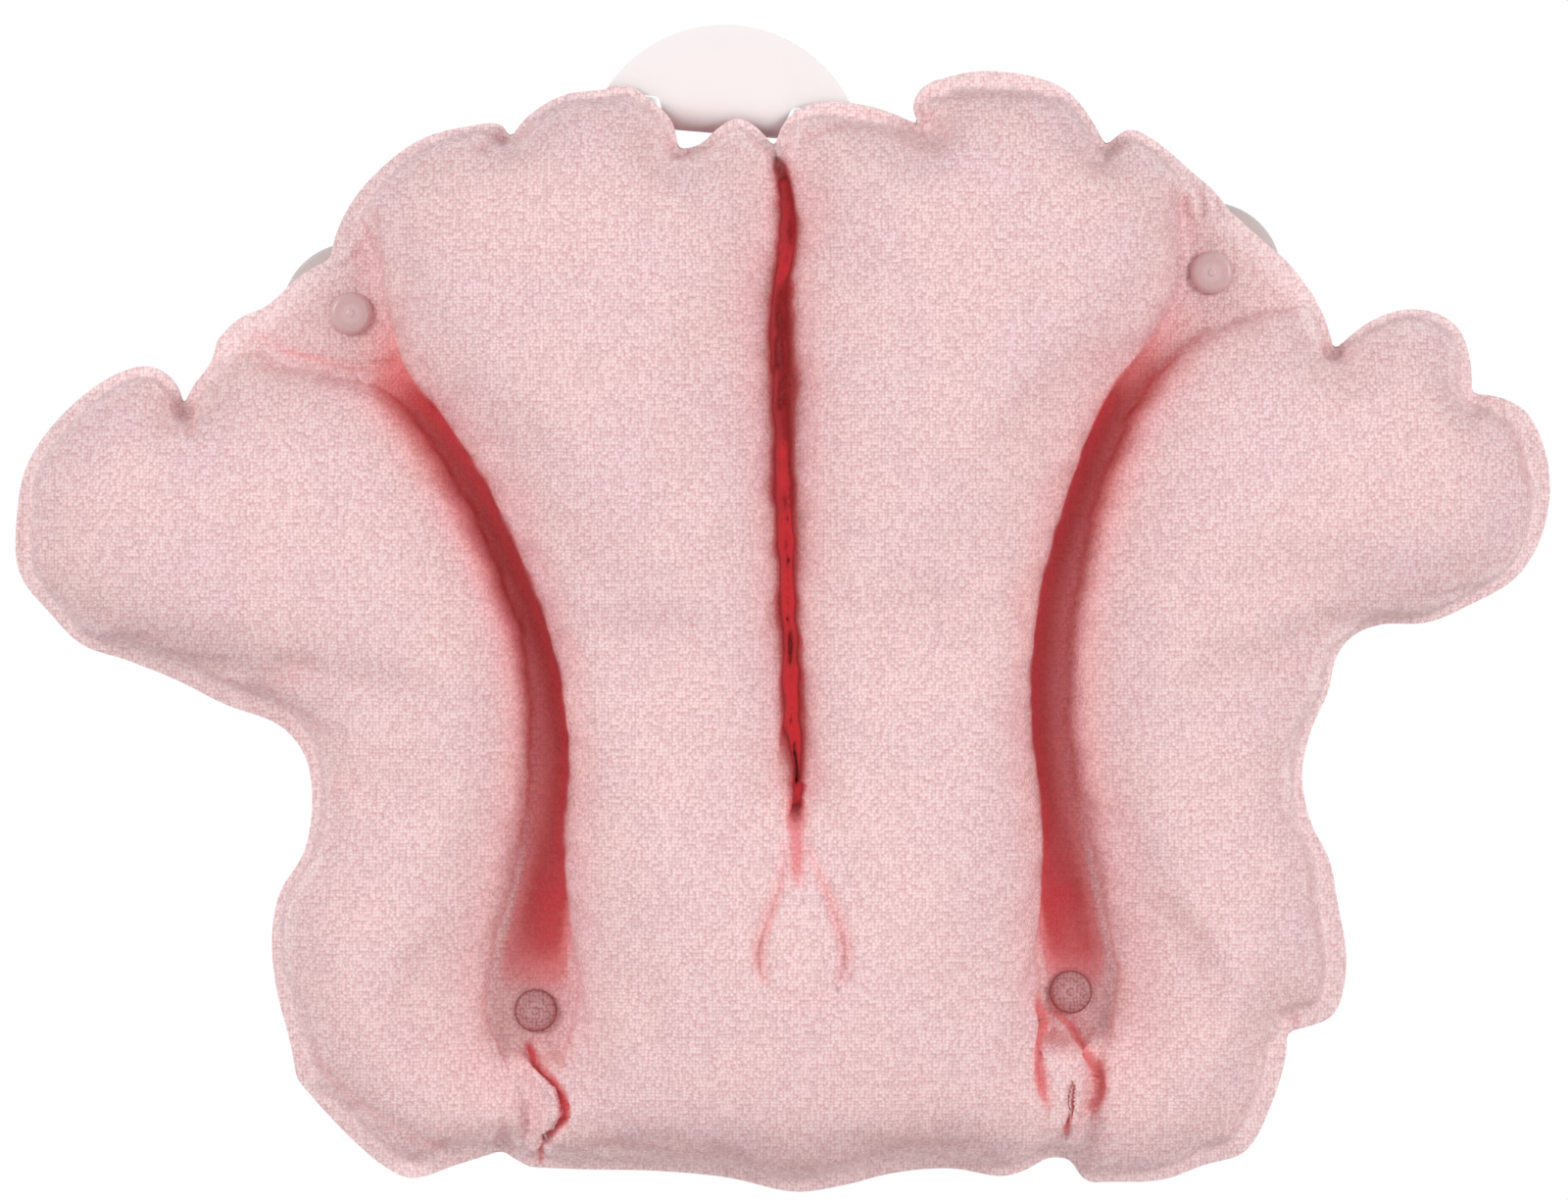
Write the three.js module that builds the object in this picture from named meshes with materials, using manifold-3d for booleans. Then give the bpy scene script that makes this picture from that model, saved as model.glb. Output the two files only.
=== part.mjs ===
// Shell-shaped inflatable bath pillow on four suction cups.
// Millimetres, +Z up, +X to the right seen from the front. The front faces -Y.
// The tub wall is the plane y = 0. The origin lies in it, halfway across the pillow and level with the
// middle of the four cups.
import * as THREE from 'three';
import { mergeVertices } from 'three/addons/utils/BufferGeometryUtils.js';
import Module from 'manifold-3d';

const wasm = await Module();
wasm.setup();

// Welded sheets
const PILLOW_WIDTH = 547;
const PILLOW_HEIGHT = 400;
const WELD_STANDOFF = 22;
const WALL_CLEARANCE = 0.5;
const FRONT_SHEET = 2;
const BACK_SHEET = 0.8;
const TOUCH_GAP = 0.3;
const RIM_WELD = 8.5;
const BAND_WELD = 2.2;
const FOLD_GAP = 1;
const FRONT_LOFT = 62;
const FRONT_SWELL = 1.25;
const BACK_SWELL = 1.25;
const FRONT_SQUARENESS = 3;
const BACK_SQUARENESS = 4;
const RIM_STEP = 9.5;
const FRONT_STEP = 16.8;
const BACK_STEP = 20;
const CROWDING = 0.97;
const LATTICE_CLEARANCE = 0.62;

// Suction cups with their snap heads
const CUP_RADIUS = 26;
const CUP_RIM_WIDTH = 1.6;
const CUP_RIM_THICKNESS = 1;
const CUP_WALL = 2;
const CUP_NECK_RADIUS = 3.5;
const CUP_SHOULDER_RADIUS = 7;
const CUP_SHOULDER_THICKNESS = 1.6;
const CUP_ROUNDNESS = 1.15;
const CUP_DOME_SHARES = [0.97, 0.85, 0.66, 0.42, 0.24];
const CUP_HOLLOW_SHARES = [0.95, 0.8, 0.55, 0.28];
const CLEARING_RADIUS_SHARES = [0.46, 0.92, 1.4, 1.85];
const CLEARING_LOFT_SHARES = [0, 0.5, 0.5, 1];
const CLEARING_STEP = 15;
const HEAD_RADIUS = 7.7;
const HEAD_THICKNESS = 3;
const HEAD_EDGE = 0.8;
const HOLE_CLEARANCE = 0.7;
const EYELET_RADIUS = 9.5;
const EYELET_THICKNESS = 1.2;
const ROUND_SEGMENTS = 24;
const HOLE_SEGMENTS = 10;

// Valve in the back of the right centre lobe
const VALVE_SHARE = [0.083, -0.155];
const VALVE_WELL = 13;
const VALVE_PAD_RADIUS = 15.5;
const VALVE_BASE_RADIUS = 13;
const VALVE_BASE_THICKNESS = 1.2;
const STEM_RADIUS = 4.8;
const STEM_BORE_RADIUS = 3.7;
const STEM_LENGTH = 17;
const STEM_PROUD = 1.5;
const PLUG_CLEARANCE = 0.3;
const CAP_RADIUS = 6.3;
const CAP_THICKNESS = 1.5;
const PLUG_LENGTH = 4;
const PLUG_TIP_RADIUS = 2.7;
const LUG_WIDTH = 4;
const LUG_THICKNESS = 0.8;
const CAP_HINGE_REACH = 7.7;
const FLAP_RADIUS = 4.6;
const FLAP_THICKNESS = 0.6;
const VALVE_SEGMENTS = 20;

// White tab behind the top edge
const TAB_RADIUS = 50;
const TAB_RISE = 27.7;
const TAB_FOLD_SHARE = [-0.0356, 0.4863];
const TAB_TILT = THREE.MathUtils.degToRad(4.8);
const TAB_THICKNESS = 1.2;
const TAB_GAP = 0.4;
const TAB_CURL_RADIUS = 11.5;
const TAB_TONGUE_LEFT = -20;
const TAB_TONGUE_RIGHT = 17;
const TAB_EAR_HEIGHT = 5;
const TAB_TONGUE_FLARE = 5.5;
const TAB_EAR_WIDTH = 17;
const TAB_SEGMENTS = 24;
const CUT_OVERRUN = 5;

// Outlines. Each point is a share of the width to the right of the origin and a share of the height above it.
// Every inner list is one scallop, and the scallops meet in sharp notches.
const LEFT_WING_RIM_SHARES = [
  [[-0.370, 0.274], [-0.374, 0.254], [-0.385, 0.234], [-0.392, 0.216]],
  [[-0.392, 0.216], [-0.395, 0.231], [-0.404, 0.245], [-0.417, 0.251], [-0.441, 0.240], [-0.472, 0.206],
    [-0.494, 0.163], [-0.501, 0.114], [-0.499, 0.066], [-0.479, 0.030], [-0.458, 0.002], [-0.430, -0.011]],
  [[-0.430, -0.011], [-0.397, -0.029], [-0.365, -0.051], [-0.329, -0.070], [-0.313, -0.096], [-0.308, -0.136],
    [-0.313, -0.182], [-0.329, -0.219], [-0.334, -0.254], [-0.332, -0.299], [-0.322, -0.355],
    [-0.318, -0.385]],
  [[-0.318, -0.385], [-0.301, -0.412], [-0.278, -0.444], [-0.259, -0.465], [-0.243, -0.474], [-0.214, -0.462],
    [-0.184, -0.449]],
  [[-0.184, -0.449], [-0.175, -0.457], [-0.166, -0.464]],
];
const LEFT_BAND_SHARES = [
  [-0.166, -0.464], [-0.160, -0.440], [-0.158, -0.418], [-0.162, -0.394], [-0.172, -0.369], [-0.183, -0.343],
  [-0.187, -0.306], [-0.179, -0.254], [-0.167, -0.192], [-0.159, -0.128], [-0.157, -0.061], [-0.163, 0.009],
  [-0.175, 0.061], [-0.194, 0.119], [-0.214, 0.166], [-0.233, 0.206], [-0.253, 0.234], [-0.288, 0.250],
  [-0.320, 0.261], [-0.347, 0.271], [-0.370, 0.274],
];
const TOP_RIM_SHARES = [
  [[-0.370, 0.274], [-0.356, 0.293], [-0.338, 0.304], [-0.316, 0.331], [-0.296, 0.347]],
  [[-0.296, 0.347], [-0.293, 0.366], [-0.283, 0.395], [-0.264, 0.426], [-0.237, 0.453], [-0.209, 0.464],
    [-0.184, 0.466], [-0.179, 0.454]],
  [[-0.179, 0.454], [-0.166, 0.475], [-0.143, 0.493], [-0.120, 0.497], [-0.102, 0.501], [-0.088, 0.489],
    [-0.073, 0.469], [-0.069, 0.444]],
  [[-0.069, 0.444], [-0.055, 0.448], [-0.044, 0.462], [-0.031, 0.472], [-0.019, 0.465], [-0.006, 0.446]],
  [[-0.006, 0.446], [0.000, 0.468], [0.016, 0.484], [0.040, 0.486], [0.065, 0.479], [0.088, 0.466]],
  [[0.088, 0.466], [0.084, 0.483], [0.091, 0.500], [0.111, 0.510], [0.131, 0.514], [0.166, 0.508],
    [0.186, 0.495], [0.200, 0.472], [0.210, 0.447]],
  [[0.210, 0.447], [0.225, 0.462], [0.243, 0.451], [0.267, 0.423], [0.282, 0.405], [0.289, 0.392]],
  [[0.289, 0.392], [0.309, 0.367], [0.329, 0.343], [0.345, 0.315]],
];
const RIGHT_WING_RIM_SHARES = [
  [[0.345, 0.315], [0.353, 0.293], [0.359, 0.265]],
  [[0.359, 0.265], [0.382, 0.290], [0.404, 0.301], [0.426, 0.298], [0.441, 0.283], [0.448, 0.255],
    [0.449, 0.226]],
  [[0.449, 0.226], [0.467, 0.223], [0.485, 0.209], [0.496, 0.178], [0.500, 0.140], [0.493, 0.094],
    [0.477, 0.061], [0.448, 0.038], [0.420, 0.022], [0.392, 0.021]],
  [[0.392, 0.021], [0.374, 0.013], [0.361, -0.007], [0.355, -0.040], [0.344, -0.074], [0.338, -0.114],
    [0.344, -0.157], [0.356, -0.190], [0.361, -0.226], [0.367, -0.275], [0.365, -0.306], [0.358, -0.329],
    [0.328, -0.344]],
  [[0.328, -0.344], [0.328, -0.360], [0.320, -0.401], [0.301, -0.450], [0.274, -0.462], [0.248, -0.475],
    [0.212, -0.477], [0.197, -0.476], [0.187, -0.457]],
];
const RIGHT_BAND_SHARES = [
  [0.187, -0.457], [0.191, -0.420], [0.194, -0.381], [0.200, -0.346], [0.209, -0.315], [0.209, -0.284],
  [0.200, -0.219], [0.189, -0.159], [0.180, -0.105], [0.177, -0.047], [0.180, 0.019], [0.189, 0.096],
  [0.206, 0.173], [0.225, 0.227], [0.243, 0.257], [0.264, 0.282], [0.296, 0.302], [0.321, 0.311],
  [0.345, 0.315],
];
const BOTTOM_RIM_SHARES = [
  [[0.187, -0.457], [0.173, -0.455], [0.160, -0.465], [0.143, -0.472], [0.109, -0.465], [0.072, -0.469],
    [0.039, -0.480], [0.008, -0.486], [-0.038, -0.473], [-0.088, -0.467], [-0.128, -0.466], [-0.166, -0.464]],
];
const LEFT_LOBE_SIDE_SHARES = [
  [-0.279, 0.400], [-0.274, 0.381], [-0.264, 0.350], [-0.256, 0.297], [-0.246, 0.248], [-0.218, 0.198],
  [-0.192, 0.138], [-0.166, 0.061], [-0.148, -0.014], [-0.140, -0.092], [-0.143, -0.166], [-0.140, -0.236],
  [-0.134, -0.297], [-0.136, -0.337], [-0.142, -0.366], [-0.139, -0.402], [-0.142, -0.433],
];
const RIGHT_LOBE_SIDE_SHARES = [
  [0.262, 0.412], [0.255, 0.381], [0.257, 0.348], [0.253, 0.304], [0.235, 0.269], [0.212, 0.229],
  [0.194, 0.173], [0.178, 0.107], [0.166, 0.042], [0.161, -0.035], [0.163, -0.092], [0.168, -0.149],
  [0.167, -0.227], [0.164, -0.276], [0.169, -0.324], [0.170, -0.372], [0.173, -0.416],
];
const CENTRE_WELD_SHARES = [
  [-0.009, 0.444], [0.001, 0.374], [-0.007, 0.315], [-0.003, 0.157], [0.001, -0.035], [0.004, -0.162],
  [-0.002, -0.201], [-0.010, -0.227], [-0.017, -0.255], [-0.017, -0.280], [-0.006, -0.300], [0.012, -0.307],
  [0.031, -0.300], [0.040, -0.280], [0.041, -0.258], [0.035, -0.232], [0.024, -0.204], [0.013, -0.162],
  [0.008, -0.035], [0.004, 0.157], [0.001, 0.315], [0.008, 0.374], [-0.002, 0.444],
];
const CUP_SHARES = {
  upper_left: [-0.2825, 0.2975],
  upper_right: [0.279, 0.334],
  lower_left: [-0.162, -0.324],
  lower_right: [0.187, -0.3075],
};

const TERRY = new THREE.MeshStandardMaterial({ color: 0xeeb9b9, roughness: 0.95, metalness: 0 });
const BACK_FILM = new THREE.MeshStandardMaterial({ color: 0xf2c9c9, roughness: 0.45, metalness: 0 });
const CLEAR_VINYL = new THREE.MeshStandardMaterial({ color: 0xe4e2e0, roughness: 0.15, metalness: 0 });
const VALVE_VINYL = new THREE.MeshStandardMaterial({ color: 0xf3f1ee, roughness: 0.35, metalness: 0 });
const WHITE_VINYL = new THREE.MeshStandardMaterial({ color: 0xf7f4f2, roughness: 0.4, metalness: 0 });

const placed = ([xShare, zShare]) => new THREE.Vector2(xShare * PILLOW_WIDTH, zShare * PILLOW_HEIGHT);

// Points at an even step along a smooth curve through the given shares, both ends included.
function traced(shares, step) {
  const knots = shares.map(placed).map((p) => new THREE.Vector3(p.x, 0, p.y));
  const curve = new THREE.CatmullRomCurve3(knots, false, 'centripetal');
  const count = Math.max(2, Math.round(curve.getLength() / step));
  return curve.getSpacedPoints(count).map((p) => new THREE.Vector2(p.x, p.z));
}

// The same for a run of scallops, whose shared notches are kept as corners.
function scalloped(scallops, step) {
  const runs = scallops.map((shares) => traced(shares, step));
  return runs.flatMap((run, i) => (i < runs.length - 1 ? run.slice(0, -1) : run));
}

function distanceToSegment(p, a, b) {
  const along = b.clone().sub(a);
  const reach = THREE.MathUtils.clamp(p.clone().sub(a).dot(along) / along.lengthSq(), 0, 1);
  return p.distanceTo(a.clone().addScaledVector(along, reach));
}

function distanceToLine(p, line) {
  let nearest = Infinity;
  for (let i = 0; i < line.length - 1; i += 1) {
    nearest = Math.min(nearest, distanceToSegment(p, line[i], line[i + 1]));
  }
  return nearest;
}

function isInside(p, loop) {
  let inside = false;
  for (let i = 0, j = loop.length - 1; i < loop.length; j = i, i += 1) {
    const a = loop[i];
    const b = loop[j];
    if (a.y > p.y !== b.y > p.y && p.x < a.x + ((p.y - a.y) * (b.x - a.x)) / (b.y - a.y)) {
      inside = !inside;
    }
  }
  return inside;
}

// A line moved sideways, to the left of its own direction. A sharp corner is rounded on its open side.
// On its closed side the points that crowd it are left out.
function movedAside(line, width) {
  const kept = [];
  line.forEach((p, i) => {
    const last = line.length - 1;
    const ahead = line[Math.min(i + 1, last)].clone().sub(line[Math.min(i, last - 1)]).normalize();
    const behind = line[Math.max(i, 1)].clone().sub(line[Math.max(i - 1, 0)]).normalize();
    const between = ahead.clone().add(behind).normalize();
    [behind, between, ahead].forEach((along) => {
      const moved = new THREE.Vector2(p.x - along.y * width, p.y + along.x * width);
      const crowded = kept.length > 0 && moved.distanceTo(kept[kept.length - 1]) < RIM_STEP / 2;
      if (distanceToLine(moved, line) > Math.abs(width) * CROWDING && !crowded) {
        kept.push(moved);
      }
    });
  });
  return kept;
}

// Even points of a triangular lattice inside a loop, clear of the points already chosen.
function latticeInside(loop, chosen, step) {
  const box = new THREE.Box2().setFromPoints(loop);
  const rowStep = step * Math.sin(Math.PI / 3);
  const points = [];
  let row = 0;
  for (let z = box.min.y + rowStep / 2; z < box.max.y; z += rowStep) {
    for (let x = box.min.x + (row % 2 ? step / 2 : 0); x < box.max.x; x += step) {
      const p = new THREE.Vector2(x, z);
      if (isInside(p, loop) && chosen.every((q) => q.distanceTo(p) > step * LATTICE_CLEARANCE)) {
        points.push(p);
      }
    }
    row += 1;
  }
  return points;
}

function circumcircle(a, b, c) {
  const bx = b.x - a.x;
  const by = b.y - a.y;
  const cx = c.x - a.x;
  const cy = c.y - a.y;
  const twice = 2 * (bx * cy - by * cx);
  const bb = bx * bx + by * by;
  const cc = cx * cx + cy * cy;
  const x = (cy * bb - by * cc) / twice;
  const y = (bx * cc - cx * bb) / twice;
  return { x: a.x + x, y: a.y + y, squared: x * x + y * y };
}

// Delaunay triangles over a set of points, by adding one point at a time.
function triangulated(points) {
  const box = new THREE.Box2().setFromPoints(points);
  const middle = box.getCenter(new THREE.Vector2());
  const farAway = 20;
  const reach = box.getSize(new THREE.Vector2()).length() * farAway;
  const all = [...points];
  for (let i = 0; i < 3; i += 1) {
    const angle = (i * 2 * Math.PI) / 3;
    all.push(new THREE.Vector2(middle.x + reach * Math.cos(angle), middle.y + reach * Math.sin(angle)));
  }
  const triangleOf = (a, b, c) => ({ corners: [a, b, c], circle: circumcircle(all[a], all[b], all[c]) });
  let triangles = [triangleOf(points.length, points.length + 1, points.length + 2)];
  points.forEach((p, index) => {
    const edges = new Map();
    triangles = triangles.filter(({ corners, circle }) => {
      if ((p.x - circle.x) ** 2 + (p.y - circle.y) ** 2 >= circle.squared) {
        return true;
      }
      corners.forEach((a, i) => {
        const b = corners[(i + 1) % 3];
        if (!edges.delete(`${b},${a}`)) {
          edges.set(`${a},${b}`, [a, b]);
        }
      });
      return false;
    });
    edges.forEach(([a, b]) => triangles.push(triangleOf(a, b, index)));
  });
  return triangles.map(({ corners }) => corners).filter((corners) => Math.max(...corners) < points.length);
}

// The plan mesh of one panel: its points, its triangles, and which points are welded flat.
function panelMesh({ rim, seams, pads, isFlat, step }) {
  const fixed = [...rim, ...seams, ...pads];
  const points = [...fixed, ...latticeInside(rim, fixed, step)];
  const triangles = triangulated(points).filter(([a, b, c]) => {
    const middle = points[a].clone().add(points[b]).add(points[c]).divideScalar(3);
    return isInside(middle, rim);
  });
  const welded = points.map((p, i) => i < rim.length + seams.length || isFlat(p));
  return { points, triangles, welded };
}

// Stretch of each point over an evenly blown film held at the welds, from the film equation on the plan mesh.
function blownUp({ points, triangles, welded }) {
  const links = points.map(() => new Map());
  const areas = points.map(() => 0);
  triangles.forEach((corners) => {
    const [a, b, c] = corners.map((i) => points[i]);
    const area = Math.abs((b.x - a.x) * (c.y - a.y) - (b.y - a.y) * (c.x - a.x)) / 2;
    corners.forEach((i, k) => {
      const j = corners[(k + 1) % 3];
      const apex = points[corners[(k + 2) % 3]];
      const toI = points[i].clone().sub(apex);
      const toJ = points[j].clone().sub(apex);
      const weight = toI.dot(toJ) / (4 * area);
      links[i].set(j, (links[i].get(j) ?? 0) + weight);
      links[j].set(i, (links[j].get(i) ?? 0) + weight);
      areas[i] += area / 3;
    });
  });
  const film = points.map(() => 0);
  const overRelaxed = 1.8;
  const sweeps = 260;
  for (let sweep = 0; sweep < sweeps; sweep += 1) {
    film.forEach((value, i) => {
      if (welded[i]) {
        return;
      }
      let sum = areas[i];
      let total = 0;
      links[i].forEach((weight, j) => {
        sum += weight * film[j];
        total += weight;
      });
      film[i] = value + overRelaxed * (sum / total - value);
    });
  }
  return film.map((value) => Math.sqrt(Math.max(0, 2 * value)));
}

// A round section of the given swell, flattened as it nears the greatest loft.
const lofted = (stretch, swell, loft, squareness) => {
  const rise = stretch * swell;
  return rise / (1 + (rise / loft) ** squareness) ** (1 / squareness);
};

// Share of the back's full loft that is left free for a cup, at a distance from the cup's axis.
function clearingAt(distance) {
  const radii = CLEARING_RADIUS_SHARES.map((share) => share * CUP_RADIUS);
  const outer = radii.findIndex((radius) => distance < radius);
  if (outer < 1) {
    return outer === 0 ? 0 : 1;
  }
  const along = (distance - radii[outer - 1]) / (radii[outer] - radii[outer - 1]);
  return THREE.MathUtils.lerp(CLEARING_LOFT_SHARES[outer - 1], CLEARING_LOFT_SHARES[outer], along);
}

// A closed thin sheet over a plan mesh. side is -1 for the front sheet and 1 for the back sheet.
function sheetSolid(mesh, rimCount, heights, side, thickness) {
  const base = -WELD_STANDOFF + side * (TOUCH_GAP / 2 + thickness);
  const outer = mesh.points.map((p, i) => new THREE.Vector3(p.x, base + side * heights[i], p.y));
  const turned = side < 0 ? mesh.triangles : mesh.triangles.map(([a, b, c]) => [a, c, b]);
  const normals = outer.map(() => new THREE.Vector3());
  turned.forEach(([a, b, c]) => {
    const face = outer[b].clone().sub(outer[a]).cross(outer[c].clone().sub(outer[a]));
    [a, b, c].forEach((i) => normals[i].add(face));
  });
  const inner = outer.map((p, i) => {
    const normal = i < rimCount ? new THREE.Vector3(0, side, 0) : normals[i].normalize();
    return p.clone().addScaledVector(normal, -thickness);
  });
  const count = outer.length;
  const indices = turned.flat();
  turned.forEach(([a, b, c]) => indices.push(a + count, c + count, b + count));
  const open = new Map();
  turned.forEach((corners) => corners.forEach((a, k) => {
    const b = corners[(k + 1) % 3];
    if (!open.delete(`${b},${a}`)) {
      open.set(`${a},${b}`, [a, b]);
    }
  }));
  open.forEach(([a, b]) => indices.push(b, a, a + count, b, a + count, b + count));
  const geometry = new THREE.BufferGeometry();
  const positions = [...outer, ...inner].flatMap((p) => [p.x, p.y, p.z]);
  geometry.setAttribute('position', new THREE.Float32BufferAttribute(positions, 3));
  geometry.setIndex(indices);
  return geometry;
}

function solidOf(geometry) {
  const bare = geometry.clone();
  bare.deleteAttribute('normal');
  bare.deleteAttribute('uv');
  const merged = mergeVertices(bare);
  const vertProperties = Float32Array.from(merged.attributes.position.array);
  const triVerts = Uint32Array.from(merged.index.array);
  return new wasm.Manifold(new wasm.Mesh({ numProp: 3, vertProperties, triVerts }));
}

function geometryOf(solid) {
  const { vertProperties, triVerts } = solid.getMesh();
  const geometry = new THREE.BufferGeometry();
  geometry.setAttribute('position', new THREE.Float32BufferAttribute(vertProperties, 3));
  geometry.setIndex([...triVerts]);
  geometry.computeVertexNormals();
  return geometry;
}

function named(name, geometry, material) {
  const mesh = new THREE.Mesh(geometry, material);
  mesh.name = name;
  return mesh;
}

// A disc or ring whose axis is Y, between two depths.
function ringGeometry(innerRadius, outerRadius, fromY, toY, segments) {
  const profile = [
    new THREE.Vector2(innerRadius, fromY),
    new THREE.Vector2(outerRadius, fromY),
    new THREE.Vector2(outerRadius, toY),
    new THREE.Vector2(innerRadius, toY),
  ];
  if (innerRadius > 0) {
    profile.push(profile[0].clone());
  }
  return new THREE.LatheGeometry(profile, segments);
}

function boxBetween(low, high) {
  const size = high.clone().sub(low);
  const geometry = new THREE.BoxGeometry(size.x, size.y, size.z);
  return geometry.translate(...low.clone().add(high).divideScalar(2).toArray());
}

// Depths along Y of what is stacked on a cup's neck, from the front of the web to the wall.
const WEB_FRONT = -WELD_STANDOFF - TOUCH_GAP / 2 - FRONT_SHEET;
const WEB_BACK = -WELD_STANDOFF + TOUCH_GAP / 2 + BACK_SHEET;
const HEAD_BACK = WEB_FRONT - TOUCH_GAP;
const EYELET_FRONT = WEB_BACK + TOUCH_GAP;
const EYELET_BACK = EYELET_FRONT + EYELET_THICKNESS;
const SHOULDER_FRONT = EYELET_BACK + TOUCH_GAP;
const HOLE_RADIUS = CUP_NECK_RADIUS + HOLE_CLEARANCE;
const cupPlaces = Object.fromEntries(
  Object.entries(CUP_SHARES).map(([name, share]) => [name, placed(share)]),
);

function cupGeometry() {
  const dome = -SHOULDER_FRONT - CUP_SHOULDER_THICKNESS;
  const outer = CUP_DOME_SHARES.map((radiusShare) => {
    const rise = dome * Math.sqrt(1 - radiusShare ** 2) ** CUP_ROUNDNESS;
    return new THREE.Vector2(CUP_RADIUS * radiusShare, -Math.max(rise, CUP_RIM_THICKNESS));
  });
  const hollow = CUP_HOLLOW_SHARES.map((radiusShare) => {
    const radius = (CUP_RADIUS - CUP_RIM_WIDTH) * radiusShare;
    const rise = (dome - CUP_WALL * 2) * Math.sqrt(1 - radiusShare ** 2) ** CUP_ROUNDNESS;
    return new THREE.Vector2(radius, -rise);
  });
  const profile = [
    new THREE.Vector2(0, HEAD_BACK - HEAD_THICKNESS),
    new THREE.Vector2(HEAD_RADIUS - 2 * HEAD_EDGE, HEAD_BACK - HEAD_THICKNESS + HEAD_EDGE / 2),
    new THREE.Vector2(HEAD_RADIUS, HEAD_BACK - HEAD_THICKNESS + 2 * HEAD_EDGE),
    new THREE.Vector2(HEAD_RADIUS, HEAD_BACK - HEAD_EDGE / 2),
    new THREE.Vector2(HEAD_RADIUS - HEAD_EDGE / 2, HEAD_BACK),
    new THREE.Vector2(CUP_NECK_RADIUS, HEAD_BACK),
    new THREE.Vector2(CUP_NECK_RADIUS, SHOULDER_FRONT),
    new THREE.Vector2(CUP_SHOULDER_RADIUS, SHOULDER_FRONT),
    ...outer.reverse(),
    new THREE.Vector2(CUP_RADIUS, -CUP_RIM_THICKNESS),
    new THREE.Vector2(CUP_RADIUS, 0),
    new THREE.Vector2(CUP_RADIUS - CUP_RIM_WIDTH, 0),
    ...hollow,
    new THREE.Vector2(0, -(dome - CUP_WALL * 2)),
  ];
  return new THREE.LatheGeometry(profile, ROUND_SEGMENTS);
}

function buildCups() {
  const cups = new THREE.Group();
  Object.entries(cupPlaces).forEach(([name, place]) => {
    const cup = named(`suction_cup_${name}`, cupGeometry(), CLEAR_VINYL);
    const eyelet = named(
      `eyelet_ring_${name}`,
      ringGeometry(HOLE_RADIUS, EYELET_RADIUS, EYELET_FRONT, EYELET_BACK, ROUND_SEGMENTS),
      BACK_FILM,
    );
    cup.position.set(place.x, 0, place.y);
    eyelet.position.copy(cup.position);
    cups.add(cup, eyelet);
  });
  return cups;
}

function ringPoints(place, radius, count) {
  return Array.from({ length: count }, (_, i) => {
    const angle = (i * 2 * Math.PI) / count;
    return new THREE.Vector2(place.x + radius * Math.cos(angle), place.y + radius * Math.sin(angle));
  });
}

const valvePlace = placed(VALVE_SHARE);
const backLoft = WELD_STANDOFF - TOUCH_GAP / 2 - BACK_SHEET - WALL_CLEARANCE;
const wellLoft = WELD_STANDOFF - TOUCH_GAP / 2 - BACK_SHEET - VALVE_WELL;

// Plan points of one panel's back where its height changes: round the valve and round the room for each cup.
function reliefPoints({ rim, seams, isFlat }) {
  const radii = CLEARING_RADIUS_SHARES.map((share) => share * CUP_RADIUS);
  const clearings = Object.values(cupPlaces).flatMap((place) => radii.flatMap(
    (radius) => ringPoints(place, radius, Math.round((2 * Math.PI * radius) / CLEARING_STEP)),
  ));
  const well = [valvePlace, ...ringPoints(valvePlace, VALVE_PAD_RADIUS, HOLE_SEGMENTS)];
  const kept = [];
  [...well, ...clearings].forEach((p) => {
    const crowded = [...rim, ...seams, ...kept].some((q) => q.distanceTo(p) < RIM_STEP / 2);
    if (isInside(p, rim) && !isFlat(p) && !crowded) {
      kept.push(p);
    }
  });
  return kept;
}

// Front and back sheets over one plan, with the holes that pierce them.
function buildPanel(name, plan, holes) {
  const front = panelMesh({ ...plan, pads: [], step: FRONT_STEP });
  const back = panelMesh({ ...plan, pads: reliefPoints(plan), step: BACK_STEP });
  const frontHeights = blownUp(front).map(
    (stretch) => lofted(stretch, FRONT_SWELL, FRONT_LOFT, FRONT_SQUARENESS),
  );
  const backHeights = blownUp(back).map((stretch, i) => {
    const shares = Object.values(cupPlaces).map((place) => clearingAt(place.distanceTo(back.points[i])));
    const room = backLoft * Math.min(...shares);
    const fromValve = back.points[i].distanceTo(valvePlace);
    const limit = fromValve < VALVE_PAD_RADIUS + TOUCH_GAP ? wellLoft : room;
    return Math.min(lofted(stretch, BACK_SWELL, backLoft, BACK_SQUARENESS), limit);
  });
  const sheets = [
    [`front_${name}`, sheetSolid(front, plan.rim.length, frontHeights, -1, FRONT_SHEET), TERRY],
    [`back_${name}`, sheetSolid(back, plan.rim.length, backHeights, 1, BACK_SHEET), BACK_FILM],
  ];
  const panel = new THREE.Group();
  sheets.forEach(([sheetName, geometry, material]) => {
    let solid = solidOf(geometry);
    holes.filter((hole) => sheetName.startsWith(hole.sheet)).forEach((hole) => {
      const drill = ringGeometry(0, hole.radius, -WELD_STANDOFF - FRONT_LOFT, 0, HOLE_SEGMENTS);
      solid = solid.subtract(solidOf(drill.translate(hole.place.x, 0, hole.place.y)));
    });
    panel.add(named(sheetName, geometryOf(solid), material));
  });
  return panel;
}

function wingPlan(rimShares, bandShares, outward) {
  const rim = scalloped(rimShares, RIM_STEP);
  const seam = traced(bandShares, RIM_STEP);
  const edge = movedAside(seam, -outward * BAND_WELD);
  const inset = movedAside(rim, outward * RIM_WELD).filter((p) => distanceToLine(p, seam) > RIM_STEP / 2);
  return {
    rim: outward > 0 ? [...rim, ...edge] : [...rim, ...edge].reverse(),
    seams: [...inset, ...seam.slice(1, -1)],
    isFlat: (p) => distanceToLine(p, rim) < RIM_WELD || distanceToLine(p, edge) < BAND_WELD,
  };
}

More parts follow.
